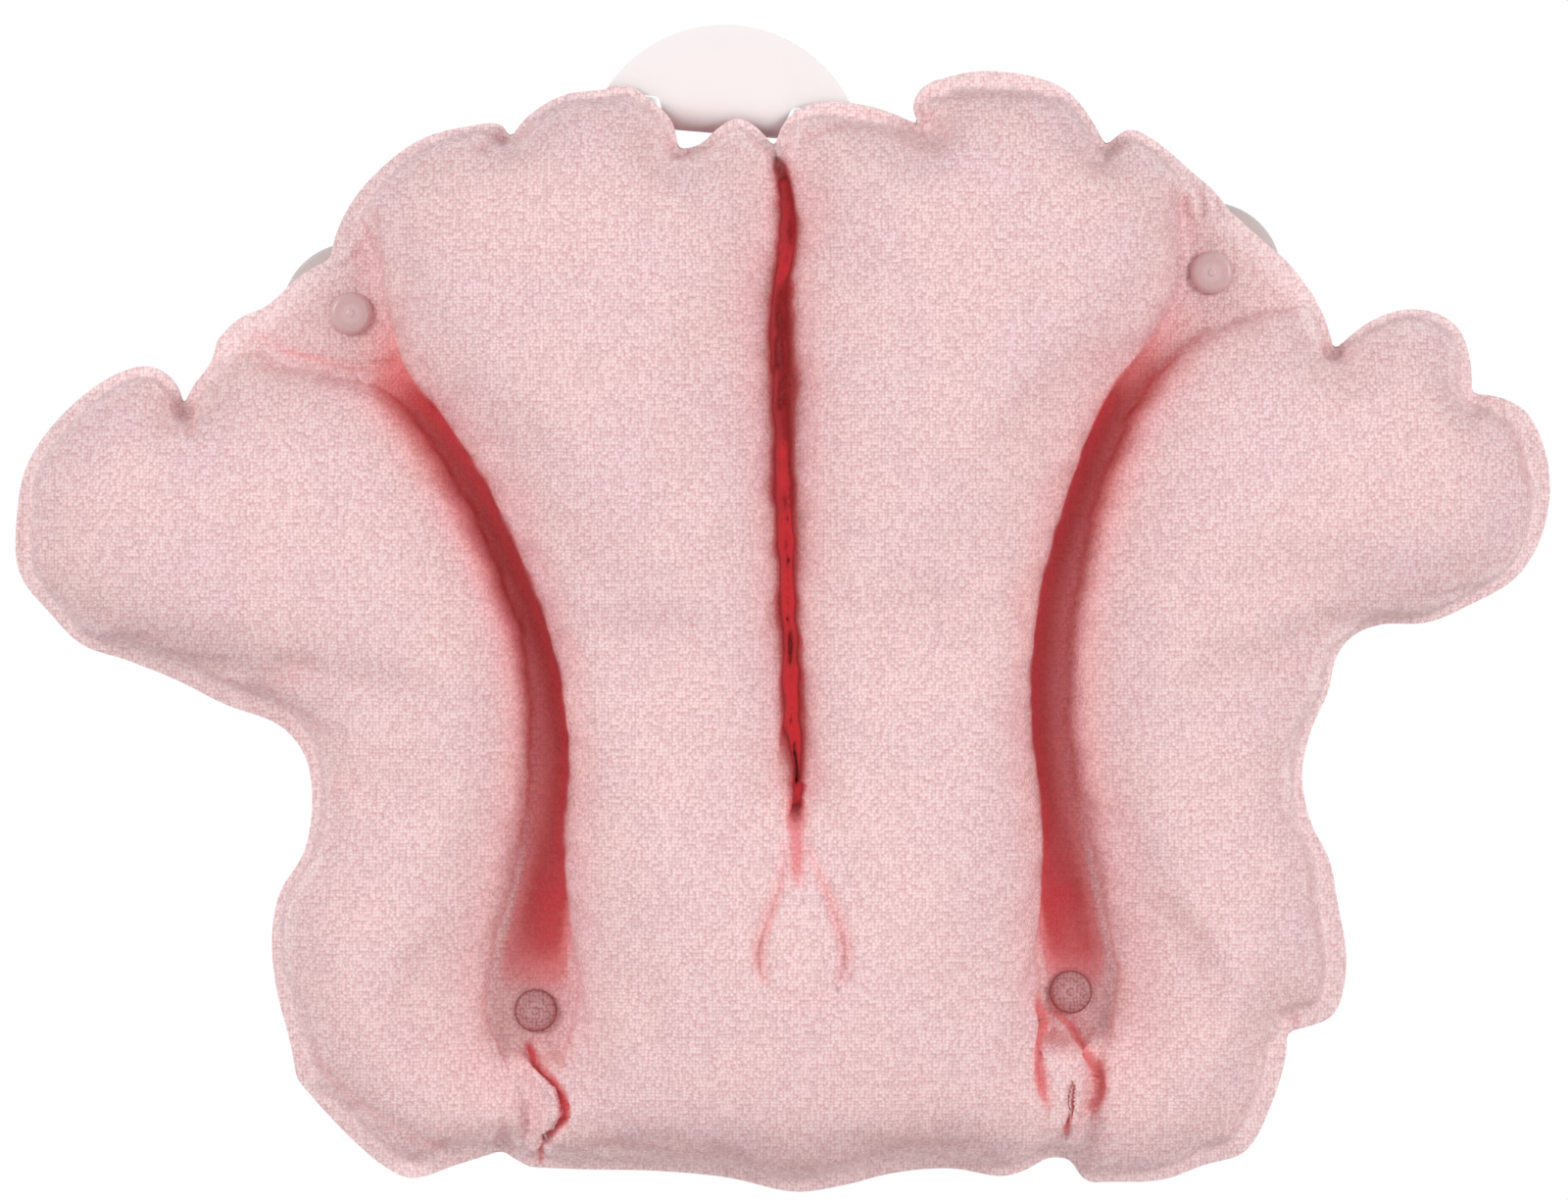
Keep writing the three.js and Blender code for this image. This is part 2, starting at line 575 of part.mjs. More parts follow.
function centrePlan() {
  const leftBand = traced(LEFT_BAND_SHARES, RIM_STEP);
  const rightBand = traced(RIGHT_BAND_SHARES, RIM_STEP);
  const nearest = (p, lines) => Math.min(...lines.map((line) => distanceToLine(p, line)));
  const clearOfWings = (p) => nearest(p, [leftBand, rightBand]) > BAND_WELD + FOLD_GAP;
  const top = scalloped(TOP_RIM_SHARES, RIM_STEP).filter(clearOfWings);
  const bottom = scalloped(BOTTOM_RIM_SHARES, RIM_STEP).filter(clearOfWings);
  const leftEdge = movedAside(leftBand, -(BAND_WELD + FOLD_GAP));
  const rightEdge = movedAside(rightBand, BAND_WELD + FOLD_GAP);
  const leftSide = traced(LEFT_LOBE_SIDE_SHARES, RIM_STEP);
  const rightSide = traced(RIGHT_LOBE_SIDE_SHARES, RIM_STEP);
  const weld = traced(CENTRE_WELD_SHARES, RIM_STEP);
  const leftWeb = [...leftSide, ...leftEdge];
  const rightWeb = [...rightSide, ...rightEdge];
  const inWeb = (p) => isInside(p, leftWeb) || isInside(p, rightWeb);
  const clearOfSides = (p) => nearest(p, [leftSide, rightSide, weld]) > RIM_STEP / 2;
  const insets = [...movedAside(top, -RIM_WELD), ...movedAside(bottom, -RIM_WELD)];
  return {
    rim: [...top, ...rightEdge.reverse(), ...bottom, ...leftEdge],
    seams: [...insets.filter((p) => clearOfSides(p) && !inWeb(p)), ...leftSide, ...rightSide, ...weld],
    isFlat: (p) => inWeb(p) || isInside(p, weld) || nearest(p, [top, bottom]) < RIM_WELD,
  };
}

function buildPillow() {
  const cupHoles = Object.values(cupPlaces).flatMap((place) => [
    { sheet: 'front', place, radius: HOLE_RADIUS },
    { sheet: 'back', place, radius: HOLE_RADIUS },
  ]);
  const valveHole = { sheet: 'back', place: valvePlace, radius: STEM_RADIUS + HOLE_CLEARANCE };
  const pillow = new THREE.Group();
  pillow.add(buildPanel('centre_panel', centrePlan(), [...cupHoles, valveHole]));
  pillow.add(buildPanel('left_wing_panel', wingPlan(LEFT_WING_RIM_SHARES, LEFT_BAND_SHARES, 1), []));
  pillow.add(buildPanel('right_wing_panel', wingPlan(RIGHT_WING_RIM_SHARES, RIGHT_BAND_SHARES, -1), []));
  return pillow;
}

function buildValve() {
  const baseFront = -VALVE_WELL + TOUCH_GAP;
  const baseBack = baseFront + VALVE_BASE_THICKNESS;
  const stemEnd = baseBack + STEM_PROUD;
  const stemRoot = stemEnd - STEM_LENGTH;
  const inWall = (STEM_BORE_RADIUS + STEM_RADIUS) / 2;
  const base = ringGeometry(inWall, VALVE_BASE_RADIUS, baseFront, baseBack, VALVE_SEGMENTS);
  const stem = ringGeometry(STEM_BORE_RADIUS, STEM_RADIUS, stemRoot, stemEnd, VALVE_SEGMENTS);
  const halfLug = LUG_WIDTH / 2;
  const bodyLug = boxBetween(
    new THREE.Vector3(inWall, stemEnd - LUG_THICKNESS, -halfLug),
    new THREE.Vector3(CAP_HINGE_REACH, stemEnd, halfLug),
  );
  const body = solidOf(base).add(solidOf(stem)).add(solidOf(bodyLug));
  const capFront = stemEnd + TOUCH_GAP;
  const capBack = capFront + CAP_THICKNESS;
  const plugRadius = STEM_BORE_RADIUS - PLUG_CLEARANCE;
  const capProfile = [
    [0, capFront - PLUG_LENGTH],
    [PLUG_TIP_RADIUS, capFront - PLUG_LENGTH],
    [plugRadius, capFront],
    [CAP_RADIUS, capFront],
    [CAP_RADIUS, capBack],
    [0, capBack],
  ].map(([radius, y]) => new THREE.Vector2(radius, y));
  const capLug = boxBetween(
    new THREE.Vector3(CAP_RADIUS / 2, capFront, -halfLug),
    new THREE.Vector3(CAP_HINGE_REACH, capFront + LUG_THICKNESS, halfLug),
  );
  const cap = solidOf(new THREE.LatheGeometry(capProfile, VALVE_SEGMENTS)).add(solidOf(capLug));
  const flapBack = stemRoot - TOUCH_GAP;
  const flap = ringGeometry(0, FLAP_RADIUS, flapBack - FLAP_THICKNESS, flapBack, VALVE_SEGMENTS);
  const valve = new THREE.Group();
  valve.add(named('valve_body', geometryOf(body), VALVE_VINYL));
  valve.add(named('valve_stopper', geometryOf(cap), VALVE_VINYL));
  valve.add(named('valve_flap', flap, CLEAR_VINYL));
  valve.position.set(valvePlace.x, 0, valvePlace.y);
  return valve;
}

// Section of the tab in Y and Z, swept along X: flat above its fold line and curled to the wall below it.
function tabSheet(halfWidth) {
  const front = WEB_BACK + TOUCH_GAP;
  const back = front + TAB_THICKNESS;
  const steps = 5;
  const arc = (radius) => Array.from({ length: steps + 1 }, (_, i) => {
    const angle = (i / steps) * (Math.PI / 2);
    const centreY = back + TAB_CURL_RADIUS - TAB_THICKNESS;
    return new THREE.Vector2(centreY - radius * Math.cos(angle), -radius * Math.sin(angle));
  });
  const outline = [
    new THREE.Vector2(front, TAB_RISE),
    ...arc(TAB_CURL_RADIUS),
    ...arc(TAB_CURL_RADIUS - TAB_THICKNESS).reverse(),
    new THREE.Vector2(back, TAB_RISE),
  ];
  const shape = new THREE.Shape(outline);
  const swept = new THREE.ExtrudeGeometry(shape, { depth: halfWidth * 2, bevelEnabled: false });
  // The section's first axis becomes Y, its second Z, and the sweep runs along X.
  const turn = new THREE.Matrix4().makeBasis(
    new THREE.Vector3(0, 1, 0),
    new THREE.Vector3(0, 0, 1),
    new THREE.Vector3(1, 0, 0),
  );
  return solidOf(swept.applyMatrix4(turn).translate(-halfWidth, 0, 0));
}

// A cutter through the tab's depth with the given outline in X and Z.
function tabCutter(shape) {
  const depth = WELD_STANDOFF + CUT_OVERRUN;
  const extrusion = { depth, bevelEnabled: false, curveSegments: TAB_SEGMENTS };
  const cutter = new THREE.ExtrudeGeometry(shape, extrusion);
  return solidOf(cutter.rotateX(Math.PI / 2));
}

function buildTab() {
  const below = TAB_RADIUS - TAB_RISE;
  const sheet = tabSheet(TAB_RADIUS);
  const dome = new THREE.Shape();
  const horizon = Math.asin(below / TAB_RADIUS);
  dome.absarc(0, -below, TAB_RADIUS, horizon, Math.PI - horizon, false);
  const tongue = new THREE.Shape([
    new THREE.Vector2(TAB_TONGUE_LEFT, -TAB_CURL_RADIUS - CUT_OVERRUN),
    new THREE.Vector2(TAB_TONGUE_RIGHT, -TAB_CURL_RADIUS - CUT_OVERRUN),
    new THREE.Vector2(TAB_TONGUE_RIGHT + TAB_TONGUE_FLARE, TAB_GAP),
    new THREE.Vector2(TAB_TONGUE_LEFT - TAB_TONGUE_FLARE, TAB_GAP),
  ]);
  const tab = sheet.intersect(tabCutter(dome).add(tabCutter(tongue)));
  const front = WEB_BACK + TOUCH_GAP;
  const earReach = TAB_TONGUE_FLARE + TAB_GAP;
  const earStarts = { left: TAB_TONGUE_LEFT - earReach - TAB_EAR_WIDTH, right: TAB_TONGUE_RIGHT + earReach };
  const group = new THREE.Group();
  group.add(named('hanging_tab', geometryOf(tab), WHITE_VINYL));
  Object.entries(earStarts).forEach(([name, start]) => {
    const ear = boxBetween(
      new THREE.Vector3(start, front, -TAB_EAR_HEIGHT),
      new THREE.Vector3(start + TAB_EAR_WIDTH, front + TAB_THICKNESS, -TAB_GAP),
    );
    group.add(named(`hanging_tab_ear_${name}`, ear, WHITE_VINYL));
  });
  const foldPlace = placed(TAB_FOLD_SHARE);
  group.position.set(foldPlace.x, 0, foldPlace.y);
  group.rotation.y = TAB_TILT;
  return group;
}

const bathPillow = new THREE.Group();
bathPillow.add(buildPillow(), buildCups(), buildValve(), buildTab());

export default bathPillow;
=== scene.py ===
"""Inflatable terry bath pillow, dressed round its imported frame. Metres, +Z up, the front faces -Y."""

import math

import bmesh
import bpy
import numpy as np
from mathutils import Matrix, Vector
from mathutils.bvhtree import BVHTree
from mathutils.geometry import delaunay_2d_cdt
from mathutils.kdtree import KDTree


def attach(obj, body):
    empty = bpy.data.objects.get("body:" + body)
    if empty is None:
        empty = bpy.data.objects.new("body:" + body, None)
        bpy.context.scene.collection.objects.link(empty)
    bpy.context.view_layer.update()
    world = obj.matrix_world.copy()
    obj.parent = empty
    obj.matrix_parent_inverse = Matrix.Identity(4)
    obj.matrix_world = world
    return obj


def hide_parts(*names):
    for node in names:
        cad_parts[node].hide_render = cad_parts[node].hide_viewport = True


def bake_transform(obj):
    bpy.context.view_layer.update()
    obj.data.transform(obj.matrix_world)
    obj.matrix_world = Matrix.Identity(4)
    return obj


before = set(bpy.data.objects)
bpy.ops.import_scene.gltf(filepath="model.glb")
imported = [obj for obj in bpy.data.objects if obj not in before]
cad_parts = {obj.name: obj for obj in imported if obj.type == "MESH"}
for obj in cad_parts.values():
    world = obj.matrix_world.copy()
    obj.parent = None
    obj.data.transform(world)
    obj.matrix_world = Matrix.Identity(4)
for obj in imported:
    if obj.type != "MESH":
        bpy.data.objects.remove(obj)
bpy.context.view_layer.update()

MM = 0.001

# Welded sheets
PILLOW_WIDTH = 547 * MM
PILLOW_HEIGHT = 400 * MM
WELD_STANDOFF = 22 * MM
WALL_CLEARANCE = 0.5 * MM
FRONT_SHEET = 2 * MM
BACK_SHEET = 0.8 * MM
TOUCH_GAP = 0.3 * MM
BAND_WELD = 2.2 * MM
FRONT_LOFT = 62 * MM
SWELL = 1.25
FRONT_SQUARENESS = 3
BACK_SQUARENESS = 4
FILM_ROUNDS = 1500
FILM_REST = 1e-12
FRONT_FACE = WELD_STANDOFF + TOUCH_GAP / 2 + FRONT_SHEET
BACK_FACE = WELD_STANDOFF - TOUCH_GAP / 2 - BACK_SHEET

# Mesh steps: along the welds, away from them, and the rings beside them
WELD_STEP = 3.0 * MM
OPEN_STEP = 5.2 * MM
RINGS_ABOVE = [0.3 * MM, 0.9 * MM, 2.0 * MM, 3.6 * MM, 6.0 * MM]
RINGS_BELOW = [1.2 * MM, 3.2 * MM]
CURVE_STEP = 0.5 * MM
CURVE_PARTS = 24
HOLE_POINTS = 16
LEAST_ROUND_POINTS = 8

# How near two points of the plan may lie, as shares of the step there
NEAR_SPLIT = 0.5
NEAR_WELD = 0.6
NEAR_OPEN = 0.62
NEAR_ROW = 0.7

# Outlines, bands and welds. Points are in thousandths of the width and of the height from the origin.
LEFT_WING_RIM_SHARES = [
    [(-370, 274), (-374, 254), (-385, 234), (-392, 216)],
    [(-392, 216), (-395, 231), (-404, 245), (-417, 251), (-441, 240), (-472, 206), (-494, 163),
     (-501, 114), (-499, 66), (-479, 30), (-458, 2), (-430, -11)],
    [(-430, -11), (-397, -29), (-365, -51), (-329, -70), (-313, -96), (-308, -136), (-313, -182),
     (-329, -219), (-334, -254), (-332, -299), (-322, -355), (-318, -385)],
    [(-318, -385), (-301, -412), (-278, -444), (-259, -465), (-243, -474), (-214, -462), (-184, -449)],
    [(-184, -449), (-175, -457), (-166, -464)],
]
LEFT_BAND_SHARES = [
    (-166, -464), (-160, -440), (-158, -418), (-162, -394), (-172, -369), (-183, -343), (-187, -306),
    (-179, -254), (-167, -192), (-159, -128), (-157, -61), (-163, 9), (-175, 61), (-194, 119),
    (-214, 166), (-233, 206), (-253, 234), (-288, 250), (-320, 261), (-347, 271), (-370, 274),
]
TOP_RIM_SHARES = [
    [(-370, 274), (-356, 293), (-338, 304), (-316, 331), (-296, 347)],
    [(-296, 347), (-293, 366), (-283, 395), (-264, 426), (-237, 453), (-209, 464), (-184, 466),
     (-179, 454)],
    [(-179, 454), (-166, 475), (-143, 493), (-120, 497), (-102, 501), (-88, 489), (-73, 469),
     (-69, 444)],
    [(-69, 444), (-55, 448), (-44, 462), (-31, 472), (-19, 465), (-6, 446)],
    [(-6, 446), (0, 468), (16, 484), (40, 486), (65, 479), (88, 466)],
    [(88, 466), (84, 483), (91, 500), (111, 510), (131, 514), (166, 508), (186, 495), (200, 472),
     (210, 447)],
    [(210, 447), (225, 462), (243, 451), (267, 423), (282, 405), (289, 392)],
    [(289, 392), (309, 367), (329, 343), (345, 315)],
]
RIGHT_WING_RIM_SHARES = [
    [(345, 315), (353, 293), (359, 265)],
    [(359, 265), (382, 290), (404, 301), (426, 298), (441, 283), (448, 255), (449, 226)],
    [(449, 226), (467, 223), (485, 209), (496, 178), (500, 140), (493, 94), (477, 61), (448, 38),
     (420, 22), (392, 21)],
    [(392, 21), (374, 13), (361, -7), (355, -40), (344, -74), (338, -114), (344, -157), (356, -190),
     (361, -226), (367, -275), (365, -306), (358, -329), (328, -344)],
    [(328, -344), (328, -360), (320, -401), (301, -450), (274, -462), (248, -475), (212, -477),
     (197, -476), (187, -457)],
]
RIGHT_BAND_SHARES = [
    (187, -457), (191, -420), (194, -381), (200, -346), (209, -315), (209, -284), (200, -219),
    (189, -159), (180, -105), (177, -47), (180, 19), (189, 96), (206, 173), (225, 227), (243, 257),
    (264, 282), (296, 302), (321, 311), (345, 315),
]
BOTTOM_RIM_SHARES = [
    [(187, -457), (173, -455), (160, -465), (143, -472), (109, -465), (72, -469), (39, -480), (8, -486),
     (-38, -473), (-88, -467), (-128, -466), (-166, -464)],
]
LEFT_LOBE_SIDE_SHARES = [
    (-279, 400), (-274, 381), (-264, 350), (-256, 297), (-246, 248), (-218, 198), (-192, 138),
    (-166, 61), (-148, -14), (-140, -92), (-143, -166), (-140, -236), (-134, -297), (-136, -337),
    (-142, -366), (-139, -402), (-142, -433),
]
RIGHT_LOBE_SIDE_SHARES = [
    (262, 412), (255, 381), (257, 348), (253, 304), (235, 269), (212, 229), (194, 173), (178, 107),
    (166, 42), (161, -35), (163, -92), (168, -149), (167, -227), (164, -276), (169, -324), (170, -372),
    (173, -416),
]
CENTRE_WELD_SHARES = [
    (-9, 444), (1, 374), (-7, 315), (-3, 157), (1, -35), (4, -162), (-2, -201), (-10, -227),
    (-17, -255), (-17, -280), (-6, -300), (12, -307), (31, -300), (40, -280), (41, -258), (35, -232),
    (24, -204), (13, -162), (8, -35), (4, 157), (1, 315), (8, 374), (-2, 444),
]
CUP_SHARES = {
    "upper_left": (-282.5, 297.5),
    "upper_right": (279, 334),
    "lower_left": (-162, -324),
    "lower_right": (187, -307.5),
}
VALVE_SHARE = (83, -155)

# Width in millimetres of the outer weld near some points of the outline
RIM_WELD_WIDTHS = [
    (-370, 270, 7.5), (-400, 250, 4), (-440, 240, 6), (-490, 170, 6.5), (-500, 80, 7), (-460, 0, 5),
    (-430, -10, 6), (-380, -40, 8.5), (-330, -70, 8.5), (-310, -130, 4), (-330, -240, 4.5),
    (-325, -350, 6.5), (-290, -430, 8), (-240, -470, 8), (-180, -450, 5), (-100, -465, 4.5),
    (10, -485, 6), (120, -467, 5), (187, -457, 5), (250, -475, 6), (310, -430, 8), (328, -350, 8),
    (360, -320, 8.5), (365, -250, 8.5), (350, -170, 6), (338, -110, 4), (360, -10, 3.5), (390, 20, 3.5),
    (450, 40, 5), (490, 90, 6.5), (500, 140, 8), (485, 210, 8), (450, 230, 4.5), (440, 280, 5),
    (400, 300, 4), (360, 270, 3.5), (310, 360, 6), (270, 420, 6), (220, 460, 5), (210, 450, 3),
    (190, 490, 5), (150, 512, 8), (100, 510, 8), (87, 480, 3.5), (60, 480, 8), (20, 485, 7),
    (0, 450, 3), (-30, 472, 4.5), (-70, 444, 2.8), (-90, 490, 5), (-140, 493, 4.5), (-178, 455, 2.8),
    (-200, 465, 4.5), (-260, 430, 6), (-295, 360, 7), (-330, 310, 7),
]
WIDTH_REACH = 14 * MM
# Where the sheets are parted in two halves
SPLIT_SHARES = [(-6, 446), (0, 300), (3, 0), (8, -162), (12, -250), (12, -600)]

# Below these shares of the height the lobes close over the left and right web, with creases between them
WEB_FOOT_SHARES = (-0.362, -0.345)

# Below this share of the height the centre weld no longer holds the film, and creases draw its teardrop
WELD_FOOT_SHARE = -0.158

# How the centre weld's foot rises to the lobes: where it begins and ends, in shares of the height below the
# origin, how far it reaches to both sides of its middle, and its share of the lobes' height
FOOT_RISE = (0.105, 0.175)
FOOT_END = (0.28, 0.34)
FOOT_X = 5 * MM
FOOT_REACH = 13 * MM
FOOT_SHARE = 0.97

# Creases: depth at each end and half width in millimetres, the ridges' share of the depth, painted shade and
# line
CREASES = [
    (1.5, 5.5, 2.2, 0.1, 0.27, [(0, -172), (-3, -204), (-10, -235), (-15, -258), (-15, -281),
        (-10, -299)]),
    (1.5, 5.5, 2.4, 0.1, 0.27, [(14, -172), (24, -201), (32, -228), (39, -262), (37, -290),
        (33, -300)]),
    (0.8, 0.8, 4.2, 0, 0.5, [(6.5, -115), (7.5, -160), (8.5, -215)]),
    (0.9, 0.9, 4, 0.1, 0.09, [(-8, -297), (0, -308), (12, -312), (24, -308), (32, -297)]),
    (1.6, 1, 2.2, 0.25, 0.16, [(-392, 216), (-386, 201), (-383, 185)]),
    (0.9, 1.8, 2.6, 0.25, 0.18, [(-344, 277), (-334, 271), (-326, 264)]),
    (1.4, 0.6, 6, 0.2, 0.14, [(-329, -32), (-319, -26), (-304, -4)]),
    (0.7, 0.3, 7, 0.2, 0.07, [(-298, -127), (-275, -118)]),
    (0.9, 0.9, 2.2, 0.2, 0.09, [(-483, 201), (-493, 157), (-496, 105), (-495, 61)]),
    (1.2, 1, 3, 0.2, 0.12, [(-325, -337), (-301, -376), (-269, -413), (-237, -437), (-205, -455)]),
    (1.6, 0.5, 2.4, 0.25, 0.16, [(-195, 446), (-187, 455), (-174, 463)]),
    (1.4, 0.5, 2, 0.25, 0.14, [(-66, 446), (-72, 440), (-78, 433)]),
    (1.2, 0.9, 2.2, 0.2, 0.12, [(13, 454), (35, 465), (62, 475)]),
    (1.2, 0.6, 2.2, 0.2, 0.12, [(81, 475), (90, 470), (97, 462)]),
    (0.8, 0.8, 1.8, 0.2, 0.08, [(90, 493), (134, 495), (179, 489)]),
    (2, 1, 3, 0.2, 0.2, [(211, 450), (216, 444)]),
    (1.2, 0.4, 2.4, 0.25, 0.12, [(359, 265), (353, 261), (345, 259)]),
    (0.9, 0.9, 2.2, 0.2, 0.09, [(451, 223), (472, 201), (481, 175), (484, 140)]),
    (0.5, 0.3, 5, 0.2, 0.05, [(320, -21), (336, -16), (349, -10)]),
    (1.2, 0.8, 2, 0.25, 0.12, [(331, -332), (328, -344), (324, -357)]),
    (1.4, 0.5, 2.2, 0.3, 0.14, [(-184, -449), (-182, -429), (-179, -411)]),
    (5.5, 3, 2, 0.1, 0.92, [(-166, -357), (-157, -372), (-146, -394), (-144, -420), (-150, -430),
        (-158, -444), (-159, -464)]),
    (3, 3, 2.4, 0.1, 0.7, [(166, -302), (168, -318), (171, -332), (166, -359), (168, -389),
        (173, -411)]),
    (3, 3, 2.4, 0.1, 0.7, [(173, -322), (182, -331), (195, -350), (204, -376), (202, -402),
        (195, -416)]),
    (3.5, 3.5, 1.6, 0.1, 0.85, [(187, -382), (186, -411), (182, -437)]),
    (0.5, 3, 2, 0.2, 0.3, [(-326, 264), (-301, 255), (-278, 248), (-250, 252)]),
    (-1.2, -0.8, 1.8, 0.4, 0, [(256, 381), (260, 348), (258, 315)]),
    (-0.8, -0.8, 1.6, 0.5, 0, [(264, 411), (267, 381)]),
    (-0.8, -0.8, 1.6, 0.5, 0, [(274, 415), (279, 383)]),
    (-0.8, -0.8, 1.6, 0.5, 0, [(283, 411), (288, 383)]),
    (-1.4, -0.8, 2, 0.4, 0, [(-282, 354), (-288, 347), (-291, 339)]),
]

# The step along a crease and, as shares of its half width, the mesh rows beside it and its line of painted
# shade
CREASE_STEP = 1.5 * MM
CREASE_ROW = 0.7
DRAWN_SHARE = 0.8
LEAST_PUSH = 0.8 * MM
SMOOTH_ROUNDS = 4

# How softly the wings rise beside their bands
WING_SOFTNESS = 0.45
WING_REACH = 14 * MM

# The front blown up as cloth: how much it grows, the pressure, for how long, and how far it may move
CLOTH_GROWTH = 0.03
CLOTH_PRESSURE = 4.0
CLOTH_FRAMES = 24
CLOTH_WAY = 14 * MM

# The rounded edge along the outline, and how far inwards the rim is painted paler, as painted light against
# the lobes' shade
RIM_REACH = 1.8 * MM
RIM_DROP = 1.2 * MM
RIM_STRAIGHT = 1.5
RIM_PAINTED_LIGHT = (6 * MM, 10 * MM)

# Rays that find how open each place is
RAY_START = 0.6 * MM
RAY_REACH = 50 * MM
RAY_COUNT = 16
FAR_HIT_SHARE = 0.6

# Between which openings folds, the webs' floors and the lobes' sides are darkened by painted shade, how far
# the sides' shade reaches, and how far from the outline folds reach their full shade
FOLD_OPENNESS = (0.12, 0.52)
FLOOR_OPENNESS = (0.70, 0.90)
SIDE_OPENNESS = (0.72, 0.93)
VALLEY_REACH = 14 * MM
INWARD_REACH = (4 * MM, 14 * MM)

# How much painted shade lies on the webs' floors and at the lobes' feet, by shares of the height
FLOOR_SHADE = ([-0.36, -0.31, -0.27, -0.22, -0.12, 0.21, 0.26], [0.15, 0.25, 0.80, 0.85, 0.60, 0.60, 0.0])
SIDE_SHADE = ([-0.32, -0.27, -0.24, -0.20, 0.22, 0.26, 0.32], [0.1, 0.2, 0.5, 0.86, 0.88, 0.4, 0.1])
# How many millimetres from the wings and from the centre lobes the floors' painted shade fades in, by shares
# of the height
FLOOR_FADE = ([-0.24, -0.10], [9.0, 3.5])
FOOT_FADE = ([-0.28, -0.22], [7.0, 0.1])

# Back film, drawn in round the cups, by shares of their radius and of its loft, and round the valve
BACK_LOFT = 20.55 * MM
BACK_WELD_STEP = 4 * MM
BACK_OPEN_STEP = 8 * MM
CUP_RADIUS = 26 * MM
CUP_HOLE_RADIUS = 4.2 * MM
CLEARING_RADIUS_SHARES = [0.46, 0.92, 1.4, 1.85]
CLEARING_LOFT_SHARES = [0, 0.5, 0.5, 1]
WELL_LOFT = 8.05 * MM
WELL_RADII = (16 * MM, 24 * MM)
VALVE_HOLE_RADIUS = 5.5 * MM

# Small parts, in millimetres. Depths are along Y, with the tub wall at 0.
CUP_ROUNDNESS = 1.15
CUP_RIM_WIDTH = 1.6
CUP_WALL = 2
CUP_STEPS = 22
CUP_EASE = 0.7
CUP_RIM_EASE = 0.35
EYELET_EASE = 0.45
SHOULDER_FRONT = -19.25
SHOULDER_THICKNESS = 1.6
SHOULDER_RADIUS = 7
NECK_RADIUS = 3.5
HEAD_BACK = -24.45
HEAD_THICKNESS = 3
HEAD_RADIUS = 7.7
EYELET_RADIUS = 9.5
EYELET_FRONT = -20.75
EYELET_THICKNESS = 1.2
TAB_THICKNESS = 1.2
TAB_RADIUS = 50
TAB_RISE = 27.7
TAB_MIDDLE = -20.15
TAB_CURL_RADIUS = 11.5
TAB_TILT = math.radians(4.8)
TAB_FOLD_SHARE = (-35.6, 486.3)
TURN_SEGMENTS = 96
SHARP_ANGLE = math.radians(40)

# Sections and plans of small parts, in millimetres: radius and depth, or to the side and up
HEAD_SECTION = [(0, -0.35), (1.1, -0.35), (1.4, 0), (HEAD_RADIUS - 1.5, 0.1), (HEAD_RADIUS, 1.3)]
VALVE_SECTION = [
    (3.7, -27.0), (4.8, -27.0), (4.8, -12.7), (13.0, -12.7), (13.0, -11.5), (4.8, -11.5), (4.8, -10.0),
    (3.7, -10.0),
]
VALVE_LUG = ((4.25, -10.8), (7.7, -10.0))
STOPPER_SECTION = [
    (0, -13.7), (2.7, -13.7), (3.4, -9.7), (6.3, -9.7), (6.3, -8.2), (4.6, -8.2), (4.2, -8.5), (0, -8.5),
]
STOPPER_LUG = ((3.15, -9.7), (7.7, -8.9))
FLAP_SECTION = [(0, -27.9), (4.6, -27.9), (4.6, -27.3), (0, -27.3)]
TONGUE_PLAN = [(-25.3, 0), (-22.6, -9.0), (-21.7, -17.0), (18.7, -17.0), (19.6, -9.0), (22.3, 0)]
EAR_STARTS = {"left": -42.9, "right": 22.9}
EAR_WIDTH = 17
EAR_TOP = -0.4
EAR_BOTTOM = -5

# Where each wing folds: a point on the fold and the direction out across the wing
FOLDS = {
    "left_wing": (Vector((-0.1215, -0.022, -0.0053)), Vector((-0.9666, 0, -0.2563))),
    "right_wing": (Vector((0.1275, -0.022, 0.0053)), Vector((0.9813, 0, -0.1923))),
}


def placed(shares):
    """Points in metres from points in thousandths of the width and of the height."""
    return np.array(shares, float) / 1000 * (PILLOW_WIDTH, PILLOW_HEIGHT)


def evenly(points, step):
    """Points at an even step along a polyline, both ends included."""
    along = np.concatenate([[0], np.cumsum(np.linalg.norm(np.diff(points, axis=0), axis=1))])
    count = max(2, round(along[-1] / step))
    at = np.linspace(0, along[-1], count + 1)
    return np.stack([np.interp(at, along, points[:, k]) for k in range(2)], axis=1)


def traced(shares, step):
    """An evenly stepped smooth curve (centripetal Catmull-Rom) through the points."""
    knots = placed(shares)
    knots = np.vstack([2 * knots[0] - knots[1], knots, 2 * knots[-1] - knots[-2]])
    t = np.linspace(0, 1, CURVE_PARTS, endpoint=False)[:, None]
    pieces = []
    for p0, p1, p2, p3 in zip(knots, knots[1:], knots[2:], knots[3:]):
        d0, d1, d2 = (np.sqrt(np.linalg.norm(b - a)) for a, b in ((p0, p1), (p1, p2), (p2, p3)))
        m1 = ((p1 - p0) / d0 - (p2 - p0) / (d0 + d1) + (p2 - p1) / d1) * d1
        m2 = ((p2 - p1) / d1 - (p3 - p1) / (d1 + d2) + (p3 - p2) / d2) * d1
        rise = 2 * p1 - 2 * p2 + m1 + m2
        bend = -3 * p1 + 3 * p2 - 2 * m1 - m2
        pieces.append(((rise * t + bend) * t + m1) * t + p1)
    return evenly(np.vstack([*pieces, knots[-2:-1]]), step)


def scalloped(scallops, step):
    runs = [traced(shares, step) for shares in scallops]
    return np.vstack([run[:-1] for run in runs[:-1]] + [runs[-1]])


